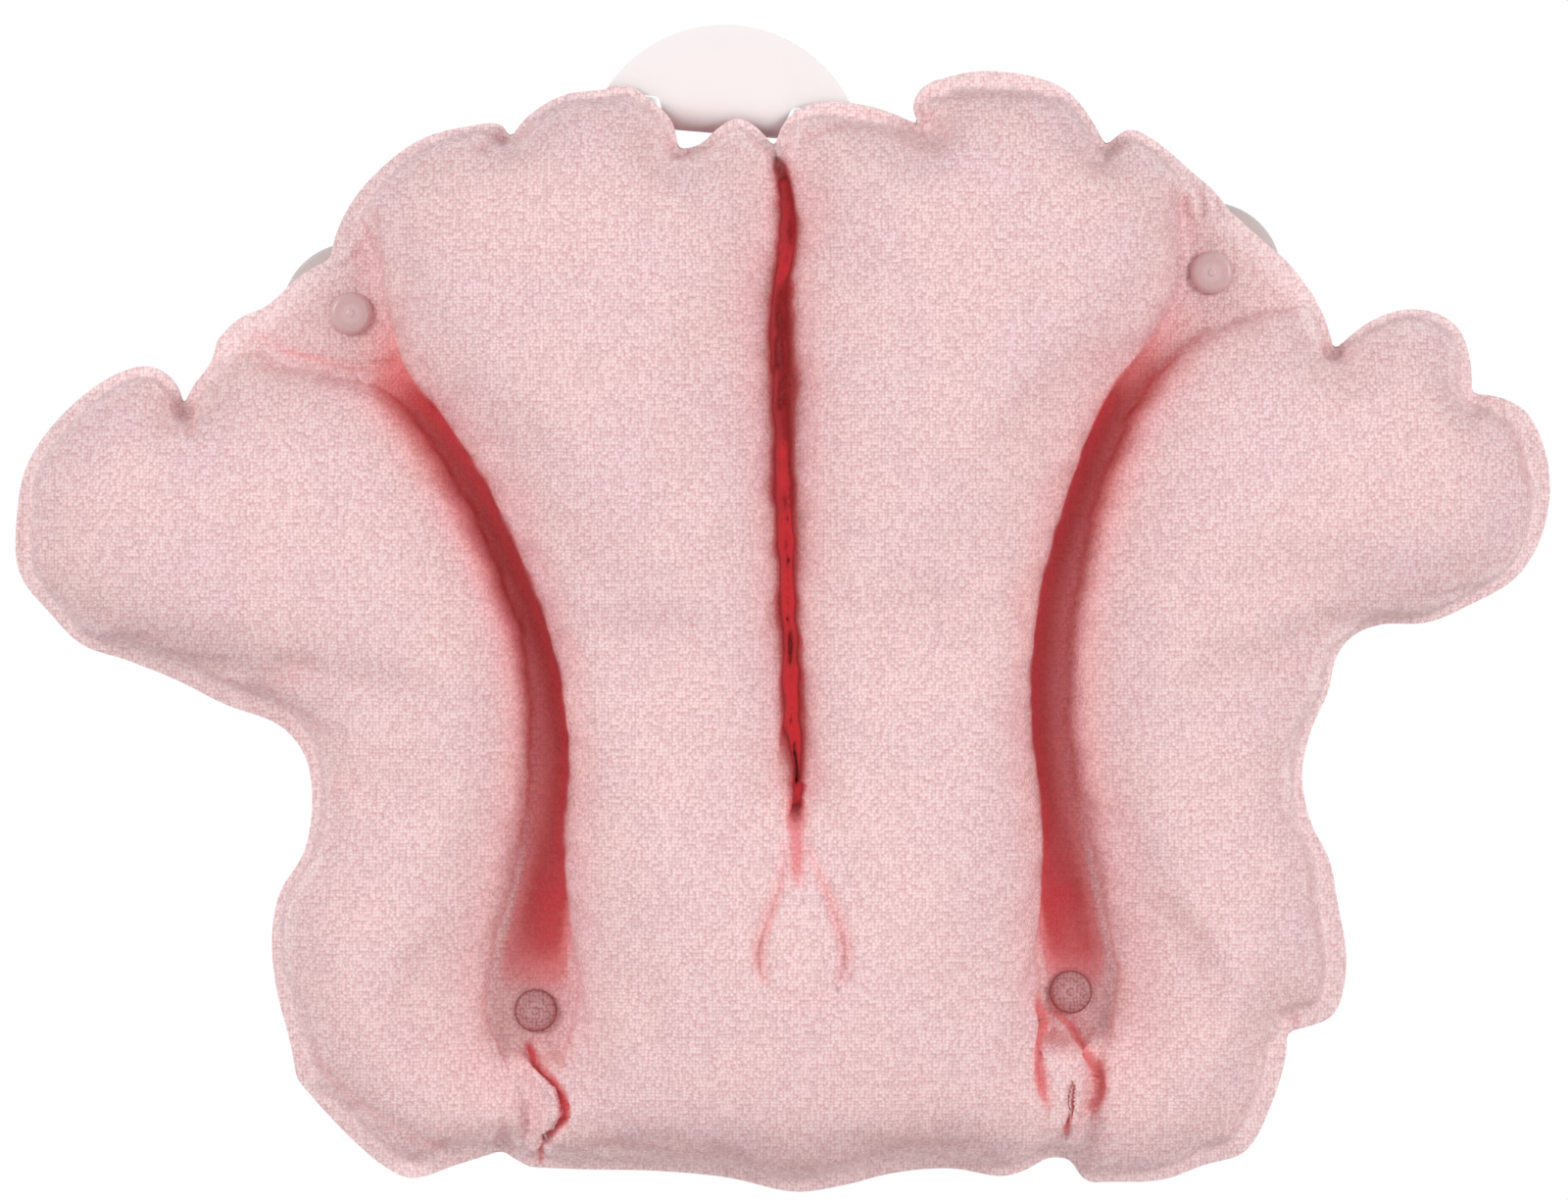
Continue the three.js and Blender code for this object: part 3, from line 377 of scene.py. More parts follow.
def outline_at(step):
    """The whole outer edge as a closed loop, clockwise seen from the front."""
    left = scalloped(LEFT_WING_RIM_SHARES, step)[::-1]
    parts = [scalloped(s, step) for s in (TOP_RIM_SHARES, RIGHT_WING_RIM_SHARES, BOTTOM_RIM_SHARES)]
    return np.vstack([part[:-1] for part in (*parts, left)])


def sideways(line, closed=False):
    """Unit normals to the left of a polyline's direction."""
    if closed:
        along = np.roll(line, -1, 0) - np.roll(line, 1, 0)
    else:
        along = np.gradient(line, axis=0)
    along /= np.linalg.norm(along, axis=1)[:, None]
    return np.stack([-along[:, 1], along[:, 0]], axis=1)


def nearest_tree(points):
    tree = KDTree(len(points))
    for i, p in enumerate(points):
        tree.insert((p[0], p[1], 0), i)
    tree.balance()
    return tree


def distances(points, tree):
    return np.array([tree.find((p[0], p[1], 0))[2] for p in points])


def inside(points, loop):
    """Which points lie inside a closed loop."""
    x, z = points[:, 0], points[:, 1]
    within = np.zeros(len(points), bool)
    for (ax, az), (bx, bz) in zip(loop, np.roll(loop, -1, 0)):
        if az != bz:
            crossed = ((az > z) != (bz > z)) & (x < (bx - ax) * (z - az) / (bz - az) + ax)
            within ^= crossed
    return within


def smoothstep(value, low, high):
    share = np.clip((value - low) / (high - low), 0, 1)
    return share * share * (3 - 2 * share)


class Welds:
    """The plan of all welds, with what is flat and how far a point lies from a weld's edge."""

    def __init__(self):
        self.outline = outline_at(CURVE_STEP)
        self.left_side = traced(LEFT_LOBE_SIDE_SHARES, CURVE_STEP)
        self.right_side = traced(RIGHT_LOBE_SIDE_SHARES, CURVE_STEP)
        self.centre = traced(CENTRE_WELD_SHARES, CURVE_STEP)
        left_band = traced(LEFT_BAND_SHARES, CURVE_STEP)
        right_band = traced(RIGHT_BAND_SHARES, CURVE_STEP)
        self.left_band = left_band + sideways(left_band) * 2 * BAND_WELD
        self.right_band = right_band - sideways(right_band) * 2 * BAND_WELD
        self.left_web = np.vstack([self.left_side, self.left_band])
        self.right_web = np.vstack([self.right_side, self.right_band])
        wings = (LEFT_WING_RIM_SHARES, LEFT_BAND_SHARES), (RIGHT_WING_RIM_SHARES, RIGHT_BAND_SHARES)
        self.wings = [np.vstack([scalloped(r, CURVE_STEP), traced(b, CURVE_STEP)[::-1]]) for r, b in wings]
        self.outline_tree = nearest_tree(self.outline)
        table = np.array(RIM_WELD_WIDTHS, float)
        places, widths = placed(table[:, :2]), table[:, 2] * MM
        apart = ((self.outline[:, None, :] - places[None, :, :]) ** 2).sum(2)
        pull = np.exp(-(apart - apart.min(1)[:, None]) / (2 * WIDTH_REACH**2))
        self.rim_width = (pull * widths).sum(1) / pull.sum(1)

    def flat(self, points, closing=False):
        """Which points lie flat in a weld. closing leaves out the ends that the front's lobes close over."""
        found = [self.outline_tree.find((p[0], p[1], 0)) for p in points]
        near_rim = np.array([hit[2] < self.rim_width[hit[1]] * 0.99 for hit in found])
        height = points[:, 1] / PILLOW_HEIGHT if closing else np.ones(len(points))
        centre = inside(points, self.centre) & (height > WELD_FOOT_SHARE)
        left = inside(points, self.left_web) & (height > WEB_FOOT_SHARES[0])
        right = inside(points, self.right_web) & (height > WEB_FOOT_SHARES[1])
        return near_rim | left | right | centre

    def rise(self, points):
        """Share of the full height: the wings rise more softly from their bands than the centre lobes."""
        share = np.ones(len(points))
        for wing, band in zip(self.wings, (self.left_band, self.right_band)):
            away = distances(points, nearest_tree(band))
            share -= inside(points, wing) * WING_SOFTNESS * np.exp(-away / WING_REACH)
        return share

    def shade(self, points, openness):
        """Painted shade: how deep a place lies in a fold or valley, from 0 on the open lobes to 1, which
        darkens its colour.
        """
        webs = inside(points, self.left_web) | inside(points, self.right_web)
        beyond = webs | inside(points, self.wings[0]) | inside(points, self.wings[1])
        sides = nearest_tree(np.vstack([self.left_side, self.right_side]))
        closeness = np.exp(-((distances(points, sides) / VALLEY_REACH) ** 2))
        height = points[:, 1] / PILLOW_HEIGHT
        inward = smoothstep(distances(points, self.outline_tree), *INWARD_REACH)
        fold = (1 - smoothstep(openness, *FOLD_OPENNESS)) * (0.3 + 0.7 * inward)
        bands = nearest_tree(np.vstack([self.left_band, self.right_band]))
        faded = smoothstep(distances(points, bands) / MM / np.interp(height, *FLOOR_FADE), 0, 1)
        faded *= smoothstep(distances(points, sides) / MM / np.interp(height, *FOOT_FADE), 0, 1)
        floor = webs * faded * np.interp(height, *FLOOR_SHADE)
        floor *= 1 - smoothstep(openness, *FLOOR_OPENNESS)
        beside = beyond * closeness * np.interp(height, *SIDE_SHADE)
        beside *= 1 - smoothstep(openness, *SIDE_OPENNESS)
        return np.maximum(fold, np.maximum(floor, beside))

    def edges(self):
        """Lines where a flat weld ends and a blown lobe begins."""
        inset = self.outline - sideways(self.outline, closed=True) * self.rim_width[:, None]
        clear = distances(inset, self.outline_tree) > self.rim_width * 0.97
        flat = inside(inset, self.left_web) | inside(inset, self.right_web)
        lines = [inset[clear & ~flat]]
        for line in (self.left_side, self.right_side, self.left_band, self.right_band, self.centre):
            lines.append(line[distances(line, self.outline_tree) > 4 * MM])
        return lines


WELDS = Welds()


class Sieve:
    """Keeps points that aren't too close to one kept before."""

    def __init__(self, cell):
        self.cell = cell
        self.cells = {}
        self.points = []

    def add(self, points, gap):
        for p in points:
            key = (math.floor(p[0] / self.cell), math.floor(p[1] / self.cell))
            around = [
                q
                for i in (-1, 0, 1)
                for j in (-1, 0, 1)
                for q in self.cells.get((key[0] + i, key[1] + j), ())
            ]
            if all((q[0] - p[0]) ** 2 + (q[1] - p[1]) ** 2 >= gap * gap for q in around):
                self.cells.setdefault(key, []).append(p)
                self.points.append(p)


def ring(place, radius, count):
    turns = np.arange(count) * 2 * math.pi / count
    return place + radius * np.stack([np.cos(turns), np.sin(turns)], axis=1)


def split_line(step):
    """Where the sheets are parted in a left and a right half, from the top notch to the bottom edge."""
    outline = outline_at(step)
    line = evenly(placed(SPLIT_SHARES), step)
    line = line[inside(line, outline)]
    line = line[distances(line, nearest_tree(outline)) > step * 0.7]
    head = outline[nearest_index(outline, placed([SPLIT_SHARES[0]])[0])]
    foot = outline[nearest_index(outline, placed([SPLIT_SHARES[-1]])[0] + (0, 40 * MM))]
    return np.vstack([head, line, foot])


def rings_beside(edges, outline, weld_step):
    """Rows of points beside the welds' edges, in the flat welds too, each with the gap to keep."""
    for rings, is_flat in ((RINGS_ABOVE, False), (RINGS_BELOW, True)):
        for nearer, far in zip([0, *rings], rings):
            for line in edges:
                tree = nearest_tree(line)
                for side in (-1, 1):
                    moved = (line + sideways(line) * side * far)[:: round(weld_step / CURVE_STEP)]
                    clear = (distances(moved, tree) > far * 0.95) & inside(moved, outline)
                    moved = moved[clear]
                    gap = min(weld_step * NEAR_OPEN, (far - nearer) * NEAR_ROW)
                    yield moved[WELDS.flat(moved) == is_flat], gap


def lattice_in(outline, weld_step, open_step):
    """Points in staggered rows that fill the outline."""
    low, high = outline.min(0), outline.max(0)
    rows = []
    for row, z in enumerate(np.arange(low[1], high[1], open_step * math.sin(math.pi / 3))):
        xs = np.arange(low[0] + (row % 2) * open_step / 2, high[0], open_step)
        rows.append(np.stack([xs, np.full_like(xs, z)], axis=1))
    lattice = np.vstack(rows)
    lattice = lattice[inside(lattice, outline)]
    return lattice[distances(lattice, nearest_tree(outline)) > weld_step * 0.7]


def plan_points(outline, split, weld_step, open_step, holes, creases, rounds):
    """Points over the whole outline, finer beside the welds, and which of them bound the sheet, in loops."""
    sieve = Sieve(open_step)
    sieve.add(outline, 0)
    loops = [np.arange(len(outline))]
    for place, radius in holes:
        first = len(sieve.points)
        sieve.add(ring(place, radius, HOLE_POINTS), 0)
        loops.append(np.arange(first, len(sieve.points)))
    sieve.add(split[1:-1], weld_step * NEAR_SPLIT)
    edges = WELDS.edges()
    for line in edges:
        sieve.add(line[:: round(weld_step / CURVE_STEP)], weld_step * NEAR_WELD)
    for _, _, width, *_, shares in creases:
        line = traced(shares, CREASE_STEP)
        for aside in (0, -1, 1, -2, 2):
            moved = line + sideways(line) * aside * width * CREASE_ROW * MM
            sieve.add(moved, CREASE_STEP * NEAR_ROW)
    for place, radius in rounds:
        count = max(LEAST_ROUND_POINTS, round(2 * math.pi * radius / weld_step))
        sieve.add(ring(place, radius, count), weld_step * NEAR_WELD)
    for row, gap in rings_beside(edges, outline, weld_step):
        sieve.add(row, gap)
    sieve.add(lattice_in(outline, weld_step, open_step), open_step * NEAR_OPEN)
    return np.array(sieve.points), loops


def triangulated(points, edges):
    """Points and triangles with the given edges in them."""
    found, _, faces, *_ = delaunay_2d_cdt([Vector(p) for p in points], edges, [], 0, 1e-7)
    return np.array([tuple(p) for p in found]), np.array([f for f in faces if len(f) == 3])


def renumbered(faces, count):
    """Which points the faces use, and the faces by their numbers among those."""
    used = np.unique(faces)
    numbers = np.full(count, -1)
    numbers[used] = np.arange(len(used))
    return used, numbers[faces]


def plan_mesh(weld_step, open_step, holes, creases=(), rounds=()):
    """Points and triangles over the whole outline, with edges along the split.

    The last value says which triangles lie right of the split.
    """
    outline, split = outline_at(weld_step), split_line(weld_step)
    points, loops = plan_points(outline, split, weld_step, open_step, holes, creases, rounds)
    bounds = [(int(a), int(b)) for loop in loops for a, b in zip(loop, np.roll(loop, -1))]
    order = [nearest_index(points, p) for p in split]
    cut = [(a, b) for a, b in zip(order, order[1:]) if a != b]
    points, triangles = triangulated(points, bounds + cut)
    middles = points[triangles].mean(1)
    kept = inside(middles, outline)
    for place, radius in holes:
        kept &= np.linalg.norm(middles - place, axis=1) > radius * math.cos(math.pi / HOLE_POINTS)
    used, triangles = renumbered(triangles[kept], len(points))
    points = points[used]
    a, b, c = (points[triangles[:, k]] for k in range(3))
    flipped = (b[:, 0] - a[:, 0]) * (c[:, 1] - a[:, 1]) - (b[:, 1] - a[:, 1]) * (c[:, 0] - a[:, 0]) < 0
    triangles[flipped] = triangles[flipped][:, ::-1]
    middles = points[triangles].mean(1)
    downward = split[::-1]
    right = middles[:, 0] > np.interp(middles[:, 1], downward[:, 1], downward[:, 0])
    return points, triangles, right


def nearest_index(points, p):
    return int(np.argmin(((points - p) ** 2).sum(1)))


def film(points, triangles, welded):
    """Stretch of an evenly blown film held at the welds, from the film equation on the plan mesh."""
    count = len(points)
    sources, targets, weights = [], [], []
    areas = np.zeros(count)
    for k in range(3):
        i, j, apex = (triangles[:, (k + n) % 3] for n in range(3))
        to_i, to_j = points[i] - points[apex], points[j] - points[apex]
        double = np.abs(to_i[:, 0] * to_j[:, 1] - to_i[:, 1] * to_j[:, 0])
        weight = (to_i * to_j).sum(1) / (2 * double)
        sources += [i, j]
        targets += [j, i]
        weights += [weight, weight]
        areas += np.bincount(i, double / 6, count)
    sources, targets, weights = (np.concatenate(x) for x in (sources, targets, weights))
    total = np.bincount(sources, weights, count)
    free = ~welded

    def applied(values):
        return np.where(free, total * values - np.bincount(sources, weights * values[targets], count), 0)

    value = np.zeros(count)
    rest = np.where(free, areas, 0)
    scale = np.where(free, 1 / np.maximum(total, 1e-9), 0)
    step = scale * rest
    energy = rest @ step
    for _ in range(FILM_ROUNDS):
        pushed = applied(step)
        size = energy / (step @ pushed)
        value += size * step
        rest -= size * pushed
        if np.abs(rest).max() < FILM_REST:
            break
        new_energy = rest @ (scale * rest)
        step = scale * rest + new_energy / energy * step
        energy = new_energy
    return np.sqrt(np.maximum(0, 2 * value))


def lofted(stretch, loft, squareness):
    rise = stretch * SWELL
    return rise / (1 + (rise / loft) ** squareness) ** (1 / squareness)


CUPS = {name: placed([share])[0] for name, share in CUP_SHARES.items()}
VALVE = placed([VALVE_SHARE])[0]
CUP_HOLES = [(place, CUP_HOLE_RADIUS) for place in CUPS.values()]


def linked(name, data):
    made = bpy.data.objects.new(name, data)
    bpy.context.scene.collection.objects.link(made)
    return made


def new_object(name, vertices, faces):
    mesh = bpy.data.meshes.new(name)
    mesh.from_pydata(np.asarray(vertices).tolist(), [], [tuple(int(i) for i in f) for f in faces])
    mesh.update()
    return linked(name, mesh)


def coordinates(mesh):
    values = np.zeros(len(mesh.vertices) * 3)
    mesh.vertices.foreach_get("co", values)
    return values.reshape(-1, 3)


def normals_of(vertices, faces):
    corners = vertices[faces]
    across = np.cross(corners[:, 2] - corners[:, 0], corners[:, -1] - corners[:, 1])
    total = np.zeros_like(vertices)
    for k in range(faces.shape[1]):
        np.add.at(total, faces[:, k], across)
    return total / np.maximum(np.linalg.norm(total, axis=1), 1e-12)[:, None]


def blown(made, held):
    """Blows up a welded sheet as cloth: its welds stay, the rest rounds out and gathers beside them."""
    before = coordinates(made.data)
    group = made.vertex_groups.new(name="welded")
    group.add([int(i) for i in np.flatnonzero(held)], 1.0, "REPLACE")
    cloth = made.modifiers.new("cloth", "CLOTH")
    settings = cloth.settings
    settings.quality = 6
    settings.mass = 0.3
    settings.tension_stiffness = 20
    settings.compression_stiffness = 20
    settings.shear_stiffness = 8
    settings.bending_stiffness = 0.4
    settings.vertex_group_mass = "welded"
    settings.shrink_min = -CLOTH_GROWTH
    settings.use_pressure = True
    settings.uniform_pressure_force = CLOTH_PRESSURE
    settings.effector_weights.gravity = 0
    cloth.collision_settings.use_collision = False
    cloth.collision_settings.use_self_collision = False
    cloth.point_cache.frame_end = CLOTH_FRAMES
    scene = bpy.context.scene
    for frame_number in range(1, CLOTH_FRAMES + 1):
        scene.frame_set(frame_number)
    settled = made.evaluated_get(bpy.context.evaluated_depsgraph_get())
    after = coordinates(settled.data)
    made.modifiers.remove(cloth)
    scene.frame_set(1)
    shift = after - before
    length = np.linalg.norm(shift, axis=1)
    shift *= (np.minimum(length, CLOTH_WAY) / np.maximum(length, 1e-9))[:, None]
    made.data.vertices.foreach_set("co", (before + shift).ravel())
    made.data.update()


def subdivided(made, right):
    """The sheet once subdivided: its points, four-sided faces, and which faces lie right of the split."""
    made.data.polygons.foreach_set("material_index", right.astype(np.int32))
    modifier = made.modifiers.new("smooth", "SUBSURF")
    modifier.levels = 1
    modifier.render_levels = 1
    settled = made.evaluated_get(bpy.context.evaluated_depsgraph_get())
    mesh = settled.data
    corners = np.zeros(len(mesh.loops), np.int32)
    mesh.loops.foreach_get("vertex_index", corners)
    sides = np.zeros(len(mesh.polygons), np.int32)
    mesh.attributes["material_index"].data.foreach_get("value", sides)
    vertices = coordinates(mesh)
    bpy.data.objects.remove(made)
    return vertices, corners.reshape(-1, 4), sides == 1


def pressed(vertices, normals, creases):
    """Presses creases in along the normals, less where the sheet is low, and returns the shade painted along
    them.

    Each is a line seen from the front with its depths at both ends.
    """
    moved = vertices.copy()
    crease_shade = np.zeros(len(vertices))
    for first, last, width, rise, shade, shares in creases:
        first, last, width = first * MM, last * MM, width * MM
        line = evenly(traced(shares, CREASE_STEP), CREASE_STEP)
        reach = width * 4
        near = np.all(vertices[:, [0, 2]] > line.min(0) - reach, axis=1)
        near &= np.all(vertices[:, [0, 2]] < line.max(0) + reach, axis=1)
        found = np.flatnonzero(near)
        apart = np.linalg.norm(vertices[found][:, None, [0, 2]] - line[None], axis=2)
        along = apart.argmin(1) / (len(line) - 1)
        away = apart.min(1) / width
        depth = first + (last - first) * along
        ends = np.sqrt(np.clip(np.minimum(along + (first != last), 1 - along) * 4, 0, 1))
        push = (np.exp(-(away**2)) - rise * np.exp(-((away - 2) ** 2))) * depth * ends
        push = np.minimum(push, np.maximum((-vertices[found, 1] - FRONT_FACE) * 0.5, LEAST_PUSH))
        moved[found] -= normals[found] * push[:, None]
        # The shade painted along the crease
        drawn = np.exp(-((away / DRAWN_SHARE) ** 2)) * ends * shade
        crease_shade[found] = np.maximum(crease_shade[found], drawn)
    return moved, crease_shade


def openness_of(vertices, faces, normals):
    """How much of the space before each point is free, by rays spread over the half sphere, as a share."""
    tree = BVHTree.FromPolygons(vertices.tolist(), faces.tolist())
    turn = np.arange(RAY_COUNT) * math.pi * (3 - math.sqrt(5))
    rise = np.sqrt(1 - (np.arange(RAY_COUNT) + 0.5) / RAY_COUNT)
    flat = np.sqrt(1 - rise**2)
    local = np.stack([flat * np.cos(turn), flat * np.sin(turn), rise], axis=1)
    helper = np.where(np.abs(normals[:, :1]) < 0.9, [[1, 0, 0]], [[0, 0, 1]])
    first = np.cross(normals, helper)
    first /= np.linalg.norm(first, axis=1)[:, None]
    second = np.cross(normals, first)
    free = np.zeros(len(vertices))
    starts = vertices + normals * RAY_START
    for a, b, c in local:
        directions = (first * a + second * b + normals * c).tolist()
        for i, (start, direction) in enumerate(zip(starts.tolist(), directions)):
            hit = tree.ray_cast(start, direction, RAY_REACH)[3]
            free[i] += 1 if hit is None else hit / RAY_REACH * FAR_HIT_SHARE
    return free / RAY_COUNT


def edges_of(faces):
    """Each face's edges as pairs of points."""
    count = faces.shape[1]
    return np.vstack([faces[:, [k, (k + 1) % count]] for k in range(count)])


def walls_of(faces, count):
    """Faces that join each open edge to the same edge of a second surface, count points further on."""
    known = set(map(tuple, edges_of(faces).tolist()))
    return [(b, a, a + count, b + count) for a, b in sorted(known) if (b, a) not in known]


def evened(values, faces, rounds):
    """Each point's value averaged with its neighbours' a few times."""
    links = edges_of(faces)
    number = np.bincount(links.ravel(), minlength=len(values))
    for _ in range(rounds):
        around = np.bincount(links[:, 0], values[links[:, 1]], len(values))
        around += np.bincount(links[:, 1], values[links[:, 0]], len(values))
        values = (values + around / np.maximum(number, 1)) / 2
    return values


def laid_behind(vertices, faces, right, normals, near_rim, thickness):
    """The sheet's other surface, a thickness behind along the normals, or straight behind where it ends."""
    ends = near_rim.copy()
    ends[np.intersect1d(faces[right], faces[~right])] = True
    straight = (0, np.sign(normals[:, 1].sum()), 0)
    return vertices - np.where(ends[:, None], straight, normals) * thickness


def closed_sheet(name, vertices, behind, faces, normals, values):
    """A closed solid from a sheet and its other surface, joined round every open edge."""
    count = len(vertices)
    both = [*faces, *(faces[:, ::-1] + count), *walls_of(faces, count)]
    made = new_object(name, np.vstack([vertices, behind]), both)
    made.data.polygons.foreach_set("use_smooth", np.ones(len(made.data.polygons), bool))
    made.data.normals_split_custom_set_from_vertices(np.vstack([normals, -normals]).tolist())
    for key, value in values.items():
        attribute = made.data.attributes.new(key, "FLOAT", "POINT")
        attribute.data.foreach_set("value", np.concatenate([value, value]).astype(np.float32))
    return made


def halves(names, vertices, behind, faces, right, normals, values):
    """The left and the right half of a sheet as closed solids, with a stored value for each point."""
    made = []
    for name, chosen in zip(names, (~right, right)):
        used, part = renumbered(faces[chosen], len(vertices))
        kept = {key: value[used] for key, value in values.items()}
        made.append(closed_sheet(name, vertices[used], behind[used], part, normals[used], kept))
    return made


def smoothed(vertices, faces):
    """Evens the sheet with itself, which takes out ripples. The rim and the cups' holes stay as they are."""
    plan = vertices[:, [0, 2]]
    share = smoothstep(distances(plan, WELDS.outline_tree), 1 * MM, 5 * MM)
    for place, radius in CUP_HOLES:
        share *= smoothstep(np.linalg.norm(plan - place, axis=1), radius + 1 * MM, radius + 4 * MM)
    evener = np.stack([evened(line, faces, SMOOTH_ROUNDS) for line in vertices.T], axis=1)
    return vertices + (evener - vertices) * share[:, None]


def foot_raised(points, heights):
    """The heights with the centre weld's foot rising softly to the lobes beside it."""
    share = smoothstep(-points[:, 1] / PILLOW_HEIGHT, *FOOT_RISE)
    share *= np.exp(-(((points[:, 0] - FOOT_X) / FOOT_REACH) ** 4))
    share *= 1 - smoothstep(-points[:, 1] / PILLOW_HEIGHT, *FOOT_END)
    tree = nearest_tree(points)
    raised = heights.copy()
    for i in np.flatnonzero(share > 0.01):
        beside = [tree.find((FOOT_X + side * FOOT_REACH, points[i, 1], 0))[1] for side in (-1.4, 1.4)]
        raised[i] += share[i] * max(0, heights[beside].mean() * FOOT_SHARE - heights[i])
    return raised


def rim_nearness(vertices):
    """How far each point lies from the outline, as a share of the rounded edge's reach."""
    return np.array([WELDS.outline_tree.find((x, z, 0))[2] for x, _, z in vertices]) / RIM_REACH


def front_halves():
    points, triangles, right = plan_mesh(WELD_STEP, OPEN_STEP, CUP_HOLES, CREASES)
    welded = WELDS.flat(points, closing=True)
    heights = lofted(film(points, triangles, welded), FRONT_LOFT, FRONT_SQUARENESS)
    heights = foot_raised(points, np.where(welded, 0, heights * WELDS.rise(points)))
    vertices = np.stack([points[:, 0], -FRONT_FACE - heights, points[:, 1]], axis=1)
    sheet = new_object("front_sheet", vertices, triangles)
    blown(sheet, welded)
    vertices, faces, right = subdivided(sheet, right)
    vertices = smoothed(vertices, faces)
    normals = normals_of(vertices, faces)
    vertices, crease_shade = pressed(vertices, normals, CREASES)
    away = rim_nearness(vertices)
    behind = laid_behind(vertices, faces, right, normals, away < RIM_STRAIGHT, FRONT_SHEET)
    vertices[:, 1] += RIM_DROP * (1 - np.sqrt(1 - (1 - np.clip(away, 0, 1)) ** 2))
    normals = normals_of(vertices, faces)
    openness = evened(openness_of(vertices, faces, normals), faces, 2)
    plan = vertices[:, [0, 2]]
    flat = WELDS.flat(plan, closing=True).astype(float)
    # Painted shade from the free space over each point, the webs' floors, the lobes' sides and the creases
    shade = np.maximum(evened(WELDS.shade(plan, openness), faces, 4), crease_shade)
    # How far inwards the rim is painted paler, as painted light
    rim = 1 - smoothstep(distances(plan, WELDS.outline_tree), *RIM_PAINTED_LIGHT)
    values = {"shade": shade, "weld": evened(flat, faces, 2), "rim": rim}
    return halves(("terry_left", "terry_right"), vertices, behind, faces, right, normals, values)


def back_heights(points, triangles):
    """The back film's loft, drawn in round the cups and the valve."""
    welded = WELDS.flat(points)
    heights = lofted(film(points, triangles, welded), BACK_LOFT, BACK_SQUARENESS)
    for place in CUPS.values():
        away = np.linalg.norm(points - place, axis=1) / CUP_RADIUS
        clearing = BACK_LOFT * np.interp(away, CLEARING_RADIUS_SHARES, CLEARING_LOFT_SHARES)
        heights = np.minimum(heights, clearing)
    away = np.linalg.norm(points - VALVE, axis=1)
    well = WELL_LOFT + (BACK_LOFT - WELL_LOFT) * smoothstep(away, *WELL_RADII)
    return np.where(welded, 0, np.minimum(heights, well))


def back_halves():
    rounds = [(place, share * CUP_RADIUS) for place in CUPS.values() for share in CLEARING_RADIUS_SHARES]
    rounds += [(VALVE, radius) for radius in WELL_RADII]
    holes = [*CUP_HOLES, (VALVE, VALVE_HOLE_RADIUS)]
    points, triangles, right = plan_mesh(BACK_WELD_STEP, BACK_OPEN_STEP, holes, rounds=rounds)
    heights = back_heights(points, triangles)
    vertices = np.stack([points[:, 0], -BACK_FACE + heights, points[:, 1]], axis=1)
    sheet = new_object("back_sheet", vertices, triangles[:, ::-1])
    vertices, faces, right = subdivided(sheet, right)
    vertices[:, 1] = np.minimum(vertices[:, 1], -WALL_CLEARANCE)
    normals = normals_of(vertices, faces)
    near_rim = rim_nearness(vertices) < RIM_STRAIGHT
    behind = laid_behind(vertices, faces, right, normals, near_rim, BACK_SHEET)
    flat = WELDS.flat(vertices[:, [0, 2]]).astype(float)
    values = {"weld": evened(flat, faces, 2)}
    return halves(("film_left", "film_right"), vertices, behind, faces, right, normals, values)


def finished(made, body, slot, look, *nodes):
    """Gives a piece its finish, hangs it on the body that it rides on unless that is a wing, and hides the
    nodes that it stands for.
    """
    made.data.materials.clear()
    made.data.materials.append(look)
    if body in FOLDS:
        pos, out = FOLDS[body]
        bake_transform(made)
    else:
        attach(made, body)
    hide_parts(*nodes)


def outward(made):
    """Turns every face outward and shades the piece smoothly up to its sharp edges."""
    work = bmesh.new()
    work.from_mesh(made.data)
    bmesh.ops.remove_doubles(work, verts=work.verts, dist=1e-6)
    bmesh.ops.recalc_face_normals(work, faces=work.faces)
    work.to_mesh(made.data)
    work.free()
    made.data.polygons.foreach_set("use_smooth", np.ones(len(made.data.polygons), bool))
    made.data.set_sharp_from_angle(angle=SHARP_ANGLE)
    return made


def eased(profile, radius, closed):
    """A section with its corners rounded."""
    corners = np.array(profile, float)
    if closed:
        corners = np.vstack([corners[-1:], corners, corners[:1]])
    run = [] if closed else [corners[0]]
    for before, corner, after in zip(corners, corners[1:], corners[2:]):
        reach = [min(radius, np.linalg.norm(end - corner) * 0.45) for end in (before, after)]
        start = corner + (before - corner) / np.linalg.norm(before - corner) * reach[0]
        end = corner + (after - corner) / np.linalg.norm(after - corner) * reach[1]
        for t in (0, 0.25, 0.5, 0.75, 1):
            run.append(start * (1 - t) ** 2 + corner * 2 * t * (1 - t) + end * t * t)
    return run if closed else [*run, corners[-1]]


def turned(name, profile, place, closed=False):
    """A turned piece round an axis along Y. The section is (radius, depth) in millimetres."""
    angles = np.arange(TURN_SEGMENTS) * 2 * math.pi / TURN_SEGMENTS
    vertices, rows, faces = [], [], []
    for radius, depth in profile:
        count = 1 if radius < 1e-6 else TURN_SEGMENTS
        rows.append(np.arange(len(vertices), len(vertices) + count))
        for angle in angles[:count]:
            x, z = radius * MM * math.cos(angle), radius * MM * math.sin(angle)
            vertices.append((place[0] + x, depth * MM, place[1] + z))
    for low, high in zip(rows, rows[1:] + rows[:1] if closed else rows[1:]):
        for i in range(TURN_SEGMENTS):
            j = (i + 1) % TURN_SEGMENTS
            corners = [low[i % len(low)], low[j % len(low)], high[j % len(high)], high[i % len(high)]]
            corners = list(dict.fromkeys(corners))
            if len(corners) > 2:
                faces.append(corners)
    made = outward(new_object(name, vertices, faces))
    away = np.linalg.norm(coordinates(made.data)[:, [0, 2]] - place, axis=1) / MM
    made.data.attributes.new("radius", "FLOAT", "POINT").data.foreach_set("value", away.astype(np.float32))
    return made


